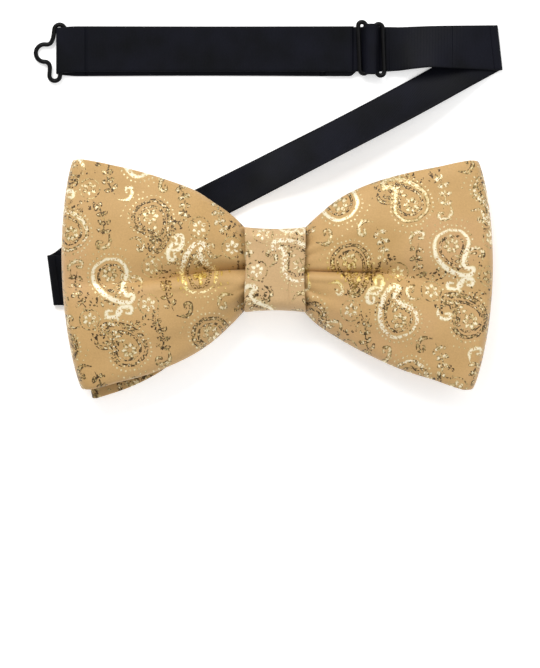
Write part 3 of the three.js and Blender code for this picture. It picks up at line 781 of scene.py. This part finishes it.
def thick_band(name, rows, flat, half, inner_count, material):
    """A closed band of cloth about a middle surface: outer face, rolled rims and inner face."""
    along = np.gradient(rows, axis=0)
    across = np.gradient(rows, axis=1)
    normal = unit(np.cross(along, across))
    if normal[2, rows.shape[1] // 3, 2] < 0:
        normal = -normal
    across = unit(across)
    outer = rows + normal * half
    picks = np.linspace(0, rows.shape[1] - 1, inner_count).round().astype(int)
    inner = (rows - normal * half)[:, picks][:, ::-1]
    low_rim, high_rim = rolled_rims(rows, normal, across, half)
    rings = np.concatenate([outer, high_rim, inner, low_rim], 1)
    rim_count = len(RIM_ANGLES)
    flat_rings = np.concatenate([
        flat, np.repeat(flat[:, -1:], rim_count, 1), flat[:, picks][:, ::-1],
        np.repeat(flat[:, :1], rim_count, 1)], 1)
    count, around = rings.shape[:2]
    obj = new_object(name, rings.reshape(-1, 3), *tube_faces(count, around, False), material)
    return obj, flat_rings.reshape(-1, 3)


def wing(side, name):
    count_t = 280
    count_s = 230
    t = np.linspace(-1, 1, count_t)
    rows, flat = wing_rows(side, count_s, t)
    obj, where = thick_band(name, rows, flat, CLOTH_HALF, 40, bow_cloth)
    # behind the rounded end the print carries on as another stretch of cloth
    behind = where[:, 2] > 0.3
    points = where[:, :2].copy()
    points[behind, 0] *= -1
    # painted reflection: near the pleat, and only in front, the foil is painted as if lit by the gold cloth
    # across the fold
    away = where[:, 1] - fold_line(side, np.abs(where[:, 0]))
    pleat_gold_reflection = np.exp(-(away / 4.0) ** 2) * (1 - smoothstep(np.abs(where[:, 0]), 26, 44))
    print_on(obj, points, WING_CUT, 0.8 * pleat_gold_reflection * ~behind)
    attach(obj, "bow")
    return obj


left_wing = wing(-1, "front_bow_left_wing")
right_wing = wing(1, "front_bow_right_wing")
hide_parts("front_bow_cover", "front_bow_interlining", "gather_thread")


BACK_TOP = [(7.2, 9.0), (12, 12), (24, 19.6), (40, 25), (54, 28.4)]
BACK_OUTLINE = {
    -1: {"bottom": [(7.2, 9.0), (12, 12.8), (22, 20.6), (32.9, 29.2), (41, 33.2), (50.6, 36.4)],
         "corners": (53, 50.9)},
    1: {"bottom": [(7.2, 9.0), (12, 12.4), (24, 20.6), (40, 27), (54, 31.4)], "corners": (54, 52)},
}
BACK_BULGE = 2.6
BACK_UNDERSIDE = 2.9
BACK_CLOTH_HALF = 0.42


def back_bow_half(side, name):
    """One side of the flat back bow: a pressed loop, its front and back close together."""
    t = np.linspace(-1, 1, 70)
    bottom, corners = BACK_OUTLINE[side]["bottom"], BACK_OUTLINE[side]["corners"]
    chord = corners[1] + (corners[0] - corners[1]) * (t + 1) / 2
    reach = chord + BACK_BULGE * (1 - t ** 2) - 1.0

    def spread(s, trim):
        """X and Y this share of the way out, this far inside the outline."""
        x = WAIST + (reach - WAIST) * s
        tall = interp(x, BACK_TOP) + interp(x, bottom) - 2 * trim
        return x, -interp(x, bottom) + trim + tall * (t + 1) / 2

    rows = []
    for s in np.linspace(0, 1, 46):
        x, y = spread(s, 0.5)
        z = 4.35 + 0.25 * np.exp(-s / 0.2) * np.cos(9 * t) + 0.25 * s + ripple(x, y, 31 + side, 0.25) * s
        rows.append(np.stack([side * x, y, z], 1))
    x1, y1, z1 = rows[-1][:, 0] * side, rows[-1][:, 1], rows[-1][:, 2]
    for a in np.linspace(0, np.pi, 9)[1:]:
        x = x1 + 0.8 * np.sin(a)
        z = (z1 + BACK_UNDERSIDE) / 2 + (z1 - BACK_UNDERSIDE) / 2 * np.cos(a)
        rows.append(np.stack([side * x, y1, z], 1))
    for s in np.linspace(1, 0, 30)[1:]:
        x, y = spread(s, 0.8)
        z = np.full_like(x, BACK_UNDERSIDE) + ripple(x, y, 41 + side, 0.2) * s
        rows.append(np.stack([side * x, y, z], 1))
    rows = np.array(rows)
    obj, where = thick_band(name, rows, rows, BACK_CLOTH_HALF, 30, bow_cloth)
    print_on(obj, where[:, :2], BACK_CUT)
    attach(obj, "bow")
    return obj


back_left = back_bow_half(-1, "back_bow_left_wing")
back_right = back_bow_half(1, "back_bow_right_wing")
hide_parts("back_bow_cover", "back_bow_interlining")


# ---- The knot ----

def knot():
    low, high = KNOT_LOW, KNOT_HIGH
    half_width = (high[0] - low[0]) / 2
    thick = 0.4
    corner_front, corner_back = 3.2, 1.2
    top, bottom, tall = high[1] - thick, low[1] + thick, high[2] - thick

    def arc(cy, cz, r, a0, a1, n):
        a = np.radians(np.linspace(a0, a1, n))
        return np.stack([cy + r * np.cos(a), cz + r * np.sin(a)], 1)

    floor = thick + 0.1
    path = np.vstack([
        arc(top - corner_back, floor + corner_back, corner_back, -90, 0, 8),
        np.stack([np.full(9, top), np.linspace(floor + corner_back, tall - corner_front, 11)[1:-1]], 1),
        arc(top - corner_front, tall - corner_front, corner_front, 0, 90, 14),
        np.stack([np.linspace(top - corner_front, bottom + corner_front, 64)[1:-1], np.full(62, tall)], 1),
        arc(bottom + corner_front, tall - corner_front, corner_front, 90, 180, 14),
        np.stack([np.full(9, bottom), np.linspace(tall - corner_front, floor + corner_back, 11)[1:-1]], 1),
        arc(bottom + corner_back, floor + corner_back, corner_back, 180, 270, 8),
        np.stack([np.linspace(bottom + corner_back, top - corner_back, 30)[1:-1], np.full(28, floor)], 1),
    ])
    u = np.linspace(-1, 1, 78)
    y, z = path[:, :1], path[:, 1:]
    front = smoothstep(z, 3, 12)
    x = np.broadcast_to(u[None, :] * (half_width - thick), (len(path), len(u))).copy()
    x = x * (1 - 0.02 * np.cos(np.pi * y / 12) * front) + 0.12 * np.sin(y * 0.3)
    pinch = 0.5 * (1 - u[None, :] ** 2)
    yy = y - np.sign(y) * pinch * smoothstep(np.abs(y), 6, 12)
    crown = -0.9 * np.abs(u[None, :]) ** 3 + 0.18 * np.exp(-((u[None, :] - 0.42) / 0.05) ** 2)
    crown = crown - 0.22 * np.exp(-((u[None, :] - 0.5) / 0.06) ** 2)
    crown = crown + 0.12 * np.sin(u[None, :] * 5 + y * 0.35)
    zz = z + crown * front
    rows = np.stack([x, yy, zz], 2)
    rows = np.vstack([rows, rows[:1]])
    along = np.gradient(rows, axis=0)
    across = unit(np.gradient(rows, axis=1))
    normal = unit(np.cross(across, along))
    if normal[len(path) // 2 - 8, 39, 2] < 0:
        normal = -normal
    rows, normal, across = rows[:-1], normal[:-1], across[:-1]
    outer = rows + normal * thick
    inner = (rows - normal * thick)[:, ::3][:, ::-1]
    low_rim, high_rim = rolled_rims(rows, normal, across, thick)
    rings = np.concatenate([outer, high_rim, inner, low_rim], 1)
    count, around = rings.shape[:2]
    obj = new_object("knot_band", rings.reshape(-1, 3), *tube_faces(count, around, True), knot_cloth)
    # the print runs along the band, so that it turns under with the cloth
    length = np.concatenate([[0], np.cumsum(np.linalg.norm(np.diff(path, axis=0), axis=1))])
    length = np.broadcast_to((length - length[-1] / 2)[:, None], rings.shape[:2])
    flat = np.stack([rings[..., 0], length], 2).reshape(-1, 2)
    print_on(obj, flat, KNOT_CUT)
    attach(obj, "bow")
    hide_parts("knot_wrap", "knot_interlining")
    return obj


knot_band = knot()


# ---- The neck strap ----

UP = np.array([0.0, 0.0, 1.0])
STRAP_THICK = 0.42
EDGE_SHARE = 0.034


def set_length_map(obj, values):
    """Millimetres along the strap, and -1 to 1 across it, for the weave."""
    uv = obj.data.uv_layers.new(name="length")
    index = np.empty(len(obj.data.loops), np.int32)
    obj.data.loops.foreach_get("vertex_index", index)
    uv.data.foreach_set("uv", values[index].astype(np.float32).ravel())


def ribbon(name, low, high, thick=STRAP_THICK, start=0.0, cup=0.0):
    """A flat ribbon between its two edges, with rounded woven edges."""
    low, high = np.asarray(low, float), np.asarray(high, float)
    middle, half = (low + high) / 2, (high - low) / 2
    along = unit(np.gradient(middle, axis=0))
    normal = unit(np.cross(along, half))
    length = np.concatenate([[0], np.cumsum(np.linalg.norm(np.diff(middle, axis=0), axis=1))]) + start
    half_t = thick / 2
    flat = 1 - EDGE_SHARE
    turns = (math.pi / 4, math.pi / 2, 3 * math.pi / 4)
    profile = [(v * flat, half_t) for v in np.linspace(-1, 1, 17)]
    profile += [(flat + EDGE_SHARE * math.sin(a), half_t * math.cos(a)) for a in turns]
    profile += [(v * flat, -half_t) for v in np.linspace(1, -1, 17)]
    profile += [(-flat - EDGE_SHARE * math.sin(a), half_t * math.cos(a)) for a in turns[::-1]]
    profile = np.array(profile)
    bow = cup * (1 - profile[:, 0] ** 2)
    lift = (profile[:, 1] + bow)[None, :, None]
    rings = middle[:, None] + half[:, None] * profile[None, :, :1] + normal[:, None] * lift
    obj = new_object(name, rings.reshape(-1, 3), *tube_faces(len(middle), len(profile), False), strap_cloth)
    set_length_map(obj, np.stack([np.repeat(length, len(profile)), np.tile(profile[:, 0], len(middle))], 1))
    return obj


def edges(stations, count):
    """Both edges of a ribbon, smoothly through (low edge, high edge) stations."""
    stations = np.array(stations, float)
    middle = stations.mean(1)
    at = np.concatenate([[0], np.cumsum(np.linalg.norm(np.diff(middle, axis=0), axis=1))])
    where = np.linspace(0, at[-1], count)
    low, high = (
        np.stack([interp(where, list(zip(at, stations[:, e, k]))) for k in range(3)], 1) for e in (0, 1))
    return low, high


CREASE_Z = LEFT_FOLD[2]
LAYER = 0.5
TOP_Z = CREASE_Z + LAYER
LOW_Z = CREASE_Z - LAYER
REACH = 1.5
FOLD_BULGE = 0.55
strap_way = unit(RIGHT_FOLD[:2] - LEFT_FOLD[:2])
DIAGONAL = np.array([strap_way[0], strap_way[1], 0.0])
ALONG_X = np.array([1.0, 0, 0])
LEFT_CREASE = np.array([[-61.2, -10.05, 0], [-63.05, 4.0, 0]])
RIGHT_CREASE = np.array([[62.95, 55.65, 0], [61.55, 68.3, 0]])


def at_height(points, z):
    raised = np.array(points, float)
    raised[..., 2] = z
    return raised


def crease_end(crease, way, z):
    """The edge points where a strap meets the piece that turns over the crease."""
    return at_height(crease + way[None] * REACH, z)


def turned_over(name, crease, top_way, low_way):
    """The short stretch that turns over at a crease."""
    out = unit(np.array([crease[1][1] - crease[0][1], crease[0][0] - crease[1][0], 0.0]))
    if np.dot(out, top_way) > 0:
        out = -out
    rows = []
    for k in np.linspace(REACH, 0, 6)[:-1]:
        rows.append(at_height(crease + top_way * k, TOP_Z))
    for a in np.linspace(0, np.pi, 15):
        rows.append(at_height(crease + out * FOLD_BULGE * math.sin(a), CREASE_Z + LAYER * math.cos(a)))
    for k in np.linspace(0, REACH, 6)[1:]:
        rows.append(at_height(crease + low_way * k, LOW_Z))
    rows = np.array(rows)
    obj = ribbon(name, rows[:, 0], rows[:, 1])
    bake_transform(obj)
    return obj


def inner_strap():
    y_low, y_high = INNER_LOW[1], INNER_HIGH[1]
    bar, radius = EYE_BAR, 0.93
    start = crease_end(LEFT_CREASE, ALONG_X, TOP_Z)
    line = [(x, TOP_Z) for x in np.linspace(LEFT_FOLD[0] + 10, bar[0] - 6, 50)]
    line += [(bar[0] - 4.4, TOP_Z + 0.08), (bar[0] - 2.6, TOP_Z + 0.4)]
    turn = np.radians(np.linspace(100, -100, 19))
    line += [(bar[0] + radius * math.cos(a), bar[2] + radius * math.sin(a)) for a in turn]
    line += [(bar[0] - 1.6, 0.4), (bar[0] - 3, 0.42)]
    line += [(x, 0.42) for x in np.linspace(bar[0] - 4, bar[0] - 12, 9)]
    first = [start[0] * (1 - k) + np.array([line[0][0], y_low, TOP_Z]) * k for k in np.linspace(0, 1, 9)[:-1]]
    last = [start[1] * (1 - k) + np.array([line[0][0], y_high, TOP_Z]) * k for k in np.linspace(0, 1, 9)[:-1]]
    low = first + [np.array([x, y_low, z]) for x, z in line]
    high = last + [np.array([x, y_high, z]) for x, z in line]
    obj = ribbon("neck_strap_inner_run", low, high, start=4)
    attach(obj, "inner_strap")
    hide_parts("neck_strap_inner")
    return obj


def diagonal_strap():
    """Flat at both creases and wherever a wing can pass over it; beyond, its lower edge stands up."""
    first, last = crease_end(LEFT_CREASE, DIAGONAL, LOW_Z), crease_end(RIGHT_CREASE, -DIAGONAL, LOW_Z)
    low, high = edges([
        first,
        ((-53.7, -5.9, LOW_Z), (-59.4, 6.4, LOW_Z)),
        ((-40, 1.3, LOW_Z), (-45.9, 12.5, LOW_Z)),
        ((-28, 7.6, LOW_Z + 0.2), (-33.2, 17.8, LOW_Z)),
        ((-17.8, 12.9, 1.2), (-22.6, 22.2, LOW_Z)),
        ((-13.4, 15.3, 1.6), (-18.2, 24.4, LOW_Z)),
        ((-6, 19.1, 2.1), (-10.6, 28.2, LOW_Z)),
        ((0, 22.2, 3.9), (-4.6, 31.2, LOW_Z)),
        ((8, 26.36, 6.2), (3.36, 35.2, LOW_Z)),
        ((20, 32.6, 7.3), (15.3, 41.2, LOW_Z)),
        ((37.7, 41.8, 6.8), (33, 50.5, LOW_Z)),
        ((47, 46.85, 4.9), (42.5, 55.7, LOW_Z)),
        ((55, 51.3, 2.4), (51.5, 61.1, LOW_Z)),
        last,
    ], 120)
    obj = ribbon("neck_strap_diagonal_run", low, high, start=20, cup=-0.25)
    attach(obj, "diagonal_strap")
    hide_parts("neck_strap_diagonal")
    return obj


FRONT_Z = 0.5 * (DOUBLE_LOW[2] + DOUBLE_HIGH[2])
BACK_Z = 0.5 * (BACKRUN_LOW[2] + BACKRUN_HIGH[2])
UPPER_STATIONS = [
    crease_end(RIGHT_CREASE, -ALONG_X, TOP_Z),
    ((56, 55.95, 2.1), (55.4, 68.25, TOP_Z)),
    ((49.7, 56.2, 3.8), (49.7, 68.2, TOP_Z)),
    ((44, 56.4, 5.0), (44, 68.1, TOP_Z)),
    ((38.5, 55.95, 4.4), (38.5, 67.9, TOP_Z + 0.1)),
    ((34.8, 55.5, 3.0), (34.8, 67.75, FRONT_Z - 0.1)),
    ((31.8, 55.3, FRONT_Z), (31.8, 67.8, FRONT_Z)),
]
UPPER_EDGES = edges(UPPER_STATIONS, 90)
UPPER_SPLIT = int(np.argmax((UPPER_EDGES[0][:, 0] + UPPER_EDGES[1][:, 0]) / 2 <= RUN_HIGH[0]))


def path_length(low, high):
    return float(np.linalg.norm(np.diff((low + high) / 2, axis=0), axis=1).sum())


def upper_strap():
    low, high = (side[:UPPER_SPLIT + 1] for side in UPPER_EDGES)
    obj = ribbon("neck_strap_upper_run", low, high, start=160)
    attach(obj, "upper_strap")
    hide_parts("neck_strap_upper")
    return obj


def running_strap():
    before = path_length(*(side[:UPPER_SPLIT + 1] for side in UPPER_EDGES))
    low, high = (side[UPPER_SPLIT:] for side in UPPER_EDGES)
    obj = ribbon("neck_strap_running_length", low, high, start=160 + before)
    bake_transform(obj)
    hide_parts("neck_strap_running")
    return obj


SLIDER_MID = (SLIDER_LOW + SLIDER_HIGH) / 2
FRONT_EDGES = (55.2, 68.0)
BACK_EDGES = (54.05, 67.0)
WEAVE_EDGES = (55.3, 67.8)
WEAVE_SPREAD = 0.85
END_EDGES = (56.4, 66.6)


def across_line(line, span):
    """Edges of a ribbon whose path is drawn in X and Z, level across Y."""
    return [(x, span[0], z) for x, z in line], [(x, span[1], z) for x, z in line]


def weave_strap():
    z = FRONT_Z
    half = (WEAVE_HIGH[0] - WEAVE_LOW[0]) / 2
    side = [(half, z), (3.6, z), (2.5, z + 0.1), (1.95, z + 0.7), (1.6, z + 1.5),
            (1.15, z + 2.15), (0.6, z + 2.45), (0, z + 2.55)]
    points = side + [(-x, h) for x, h in side[:-1][::-1]]
    line = smooth_line([(SLIDER_MID[0] + x, h) for x, h in points], 64)
    low, high = (np.array(side, float) for side in across_line(line, WEAVE_EDGES))
    spread = WEAVE_SPREAD * smoothstep(line[:, 1], z, z + 1.2)
    low[:, 1] -= spread
    high[:, 1] += spread
    obj = ribbon("neck_strap_weave", low, high, start=185)
    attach(obj, "slider")
    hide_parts("neck_strap_at_slider")
    return obj


def end_loop():
    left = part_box("neck_strap_end_loop")[0][0] / MM
    bar = SLIDER_MID
    joined = min(left, BACKRUN_HIGH[0])
    line = [(joined, BACK_Z), (bar[0] - 6, BACK_Z), (bar[0] - 2.4, BACK_Z), (bar[0] - 0.4, BACK_Z + 0.5),
            (bar[0] + 0.6, BACK_Z + 1.5)]
    radius = 0.92
    turn = np.radians(np.linspace(-20, 190, 11))
    line += [(bar[0] + radius * math.cos(a), bar[2] + radius * math.sin(a)) for a in turn]
    line += [(bar[0] - 1.05, BACK_Z + 1.6), (bar[0] - 2.0, BACK_Z + 0.9), (bar[0] - 3.4, BACK_Z + 0.78)]
    line.append((left + 1, BACK_Z + 0.78))
    path = smooth_line(line, 90)
    low, high = (np.array(side, float) for side in across_line(path, END_EDGES))
    # full width where it lies flat, tucked in only where it passes round the slider's bar
    flat = 1 - smoothstep(path[:, 0], bar[0] - 6.0, bar[0] - 2.6)
    low[:, 1] += flat * (BACK_EDGES[0] - END_EDGES[0])
    high[:, 1] += flat * (BACK_EDGES[1] - END_EDGES[1])
    obj = ribbon("neck_strap_end_turn", low, high, thick=0.38, start=260)
    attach(obj, "slider")
    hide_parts("neck_strap_end_loop")
    return obj


def doubled_run(name, node, high_x, z, span):
    low_x = DOUBLE_LOW[0]
    x = np.linspace(high_x, low_x, 60)
    share = (x - low_x) / (high_x - low_x)
    sag = z + 0.1 * np.sin(share * np.pi * 3)
    sway = 0.12 * np.sin(share * np.pi)
    low = np.stack([x, span[0] + sway, sag], 1)
    high = np.stack([x, span[1] - sway * 0.5, sag], 1)
    obj = ribbon(name, low, high, start=200)
    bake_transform(obj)
    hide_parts(node)
    return obj


def hook_loop():
    bar_x, bar_z = HOOK_BAR[0] - 0.45, HOOK_BAR[2]
    end = DOUBLE_LOW[0]
    line = [(end, FRONT_Z), (end - 2, FRONT_Z), (HOOK_BAR[0] + 1.5, FRONT_Z + 0.1)]
    turn = np.radians(np.linspace(85, 272, 17))
    line += [(bar_x + 1.0 * math.cos(a), bar_z + 0.93 * math.sin(a)) for a in turn]
    line += [(HOOK_BAR[0] + 1.5, BACK_Z), (end - 2, BACK_Z), (end, BACK_Z)]
    line = smooth_line(line, 70)
    low, high = [], []
    for k, (x, z) in enumerate(line):
        share = float(smoothstep(k / (len(line) - 1), 0.1, 0.9))
        y0 = FRONT_EDGES[0] + (BACK_EDGES[0] - FRONT_EDGES[0]) * share
        y1 = FRONT_EDGES[1] + (BACK_EDGES[1] - FRONT_EDGES[1]) * share
        low.append((x, y0, z))
        high.append((x, y1, z))
    obj = ribbon("neck_strap_hook_turn", low, high, start=300)
    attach(obj, "hook_end")
    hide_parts("neck_strap_hook_loop")
    return obj


inner_run = inner_strap()
left_turn = turned_over("neck_strap_left_turn", LEFT_CREASE, ALONG_X, DIAGONAL)
diagonal_run = diagonal_strap()
right_turn = turned_over("neck_strap_right_turn", RIGHT_CREASE, -ALONG_X, -DIAGONAL)
upper_run = upper_strap()
running = running_strap()
weave = weave_strap()
sewn_end = end_loop()
front_run = doubled_run("neck_strap_front_length", "neck_strap_front_run", WEAVE_LOW[0], FRONT_Z, FRONT_EDGES)
back_run = doubled_run("neck_strap_back_length", "neck_strap_back_run", BACKRUN_HIGH[0], BACK_Z, BACK_EDGES)
hook_turn = hook_loop()


# ---- Stitches ----

def stitch_row(name, centre, count, length, along, spread, material, body, node, radius=0.16):
    """Close stitches side by side, each a small bowed thread, joined in one piece."""
    verts, quads, caps = [], [], []
    sides = 6
    for k in range(count):
        shift = (k - (count - 1) / 2) * spread / max(count - 1, 1)
        t = np.linspace(-1, 1, 7)
        other = np.array([-along[1], along[0], 0.0])
        line = (centre[None] + along[None] * (t[:, None] * length / 2) + other[None] * shift
                + UP[None] * (0.14 * (1 - t[:, None] ** 2)))
        way = unit(np.gradient(line, axis=0))
        side = unit(np.cross(way, UP))
        up = np.cross(side, way)
        a = np.linspace(0, 2 * np.pi, sides, endpoint=False)[None, :, None]
        ring = line[:, None] + radius * (np.cos(a) * side[:, None] + np.sin(a) * up[:, None])
        more, ends = tube_faces(len(t), sides, False, k * len(t) * sides)
        quads.append(more)
        caps += ends
        verts.append(ring.reshape(-1, 3))
    obj = new_object(name, np.vstack(verts), np.vstack(quads), caps, material)
    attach(obj, body)
    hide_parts(node)
    return obj


slider_tack_low, slider_tack_high = box_mm("slider_bar_tack")
slider_tack_at = np.array([(slider_tack_low[0] + slider_tack_high[0]) / 2, RIGHT_FOLD[1], 1.32])
slider_tack = stitch_row("slider_end_stitches", slider_tack_at, count=22, length=1.6, along=ALONG_X,
                         spread=8.6, material=black_thread, body="slider", node="slider_bar_tack")
eye_tack_low, eye_tack_high = box_mm("eye_bar_tack")
eye_tack_at = np.array([(eye_tack_low[0] + eye_tack_high[0]) / 2, LEFT_FOLD[1], 1.55])
eye_tack = stitch_row("eye_end_stitches", eye_tack_at, count=24, length=1.6, along=ALONG_X,
                      spread=10.4, material=black_thread, body="inner_strap", node="eye_bar_tack")
seam_low, seam_high = box_mm("knot_seam_thread")
knot_seam_at = np.array([0, (seam_low[1] + seam_high[1]) / 2, 0.2])
knot_stitches = stitch_row("knot_seam_stitches", knot_seam_at, count=7, length=2.0,
                           along=np.array([0.35, 0.94, 0]), spread=12.5, material=gold_thread,
                           body="bow", node="knot_seam_thread", radius=0.13)


# ---- Wire fittings ----

WIRE_RADIUS = 0.63
WIRE_SIDES = 14


def arc_points(centre, radius, start, stop, count):
    angle = np.radians(np.linspace(start, stop, count))
    return [(centre[0] + radius * math.cos(a), centre[1] + radius * math.sin(a)) for a in angle]


def hook_wire():
    bar_half, lobe, nose, reach, sunk = 6.4, 1.5, 2.44, 7.3, 0.4
    half = [(0, 0), (0, 2.4), (0, 4.8)]
    half += arc_points((lobe, bar_half), lobe, 180, 0, 9)
    half += [(2 * lobe, nose + 2.6), (2 * lobe + 0.05, nose + 1.5), (2 * lobe + 0.4, nose + 0.5),
             (2 * lobe + 1.1, nose + 0.04)]
    half += arc_points((reach - nose, 0), nose, 84, 0, 8)
    pts = half + [(x, -y) for x, y in half[1:-1][::-1]]
    # the upper lobe sits further in than the lower, and the nose a little below the middle
    upper_in, nose_drop = 0.35, 0.36
    pts = [(x - upper_in * float(smoothstep(y, 2.0, 6.0)),
            y - nose_drop * (1 - float(smoothstep(abs(y), 2.5, 6.5)))) for x, y in pts]
    lean = math.atan2(HOOK_AXIS[0], HOOK_AXIS[1])
    out = []
    for x, y in pts:
        z = HOOK_BAR[2] - 0.6 * x / reach
        px, py = -x, y - sunk
        out.append((HOOK_BAR[0] + px * math.cos(lean) + py * math.sin(lean),
                    HOOK_BAR[1] - px * math.sin(lean) + py * math.cos(lean), z))
    obj = wire_loop("hook_wire", out, 260)
    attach(obj, "hook")
    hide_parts("hook")
    return obj


hook_obj = hook_wire()


def eye_wire():
    corner, half, reach = 1.3, 8.15, 4.9
    far = reach - corner
    pts = arc_points((far, half - corner), corner, 0, 90, 6)
    pts += arc_points((corner, half - corner), corner, 90, 180, 6)
    pts += [(0, 3.5), (0, 0), (0, -3.5)]
    pts += arc_points((corner, -half + corner), corner, 180, 270, 6)
    pts += arc_points((far, -half + corner), corner, 270, 360, 6)
    pts += [(reach, -3.5), (reach, 0), (reach, 3.5)]
    out = [(EYE_BAR[0] + x, EYE_BAR[1] + y, EYE_BAR[2] - 0.6 * x / reach) for x, y in pts]
    obj = wire_loop("eye_wire", out, 200)
    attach(obj, "eye")
    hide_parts("eye")


eye_wire()


def slider_wire():
    mid = SLIDER_MID
    lobe = 1.06
    bar_x = 3.4
    lobe_x = bar_x - lobe
    lobe_y = 7.2 - lobe
    lean = math.radians(2.2)
    upper = [(bar_x, 2.5), (bar_x, 4.6)] + arc_points((lobe_x, lobe_y), lobe, 0, 180, 10)
    upper += [(0.95, lobe_y - 0.5), (0.5, lobe_y - 1.0), (0.1, lobe_y - 1.7), (0.0, 2.2), (0.0, 0.0)]
    pts = upper + [(x, -y) for x, y in upper[::-1][1:]] + [(bar_x, 0.0)]
    wires = []
    for side, name in ((-1, "slider_wire_left"), (1, "slider_wire_right")):
        middle_y = mid[1] + 0.35 - side * 0.28
        out = [(mid[0] + side * x - y * math.sin(lean), middle_y + y, mid[2]) for x, y in pts]
        obj = wire_loop(name, out, 220)
        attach(obj, "slider")
        wires.append(obj)
    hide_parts("slider")
    return wires


slider_objs = slider_wire()

# ---- Table, lights and world ----

floor_mesh = bpy.data.meshes.new("table")
reach = 2.0
floor_corners = [(-reach, -reach, 0), (reach, -reach, 0), (reach, reach, 0), (-reach, reach, 0)]
floor_mesh.from_pydata(floor_corners, [], [(0, 1, 2, 3)])
floor = bpy.data.objects.new("table", floor_mesh)
floor.location.z = -0.0002
bpy.context.scene.collection.objects.link(floor)
floor_material, _, _, floor_shader = new_material("table")
set_inputs(floor_shader, {
    "Base Color": (0.93, 0.93, 0.93, 1), "Roughness": 0.9, "Specular IOR Level": 0.1,
    "Emission Color": (1, 1, 1, 1), "Emission Strength": 0.36})
floor_mesh.materials.append(floor_material)


def area_light(name, place, target, size, power, colour=(1, 1, 1)):
    data = bpy.data.lights.new(name, "AREA")
    data.shape = "SQUARE"
    data.size = size
    data.energy = power
    data.color = colour
    obj = bpy.data.objects.new(name, data)
    obj.location = place
    way = Vector(target) - Vector(place)
    obj.rotation_euler = way.to_track_quat("-Z", "Y").to_euler()
    bpy.context.scene.collection.objects.link(obj)


area_light("key", (-0.3, 0.7, 0.75), (0, 0, 0), 0.5, 8.6, (1.0, 0.99, 0.97))
area_light("fill", (0.55, 0.1, 0.8), (0, 0, 0), 0.9, 3.0)
area_light("low", (0.0, -0.8, 0.5), (0, 0, 0), 0.8, 0.8)

world = bpy.data.worlds.new("world")
bpy.context.scene.world = world
world.use_nodes = True
world.node_tree.nodes["Background"].inputs["Color"].default_value = (1, 1, 1, 1)
world.node_tree.nodes["Background"].inputs["Strength"].default_value = 0.5
bpy.context.scene.view_settings.view_transform = "Standard"
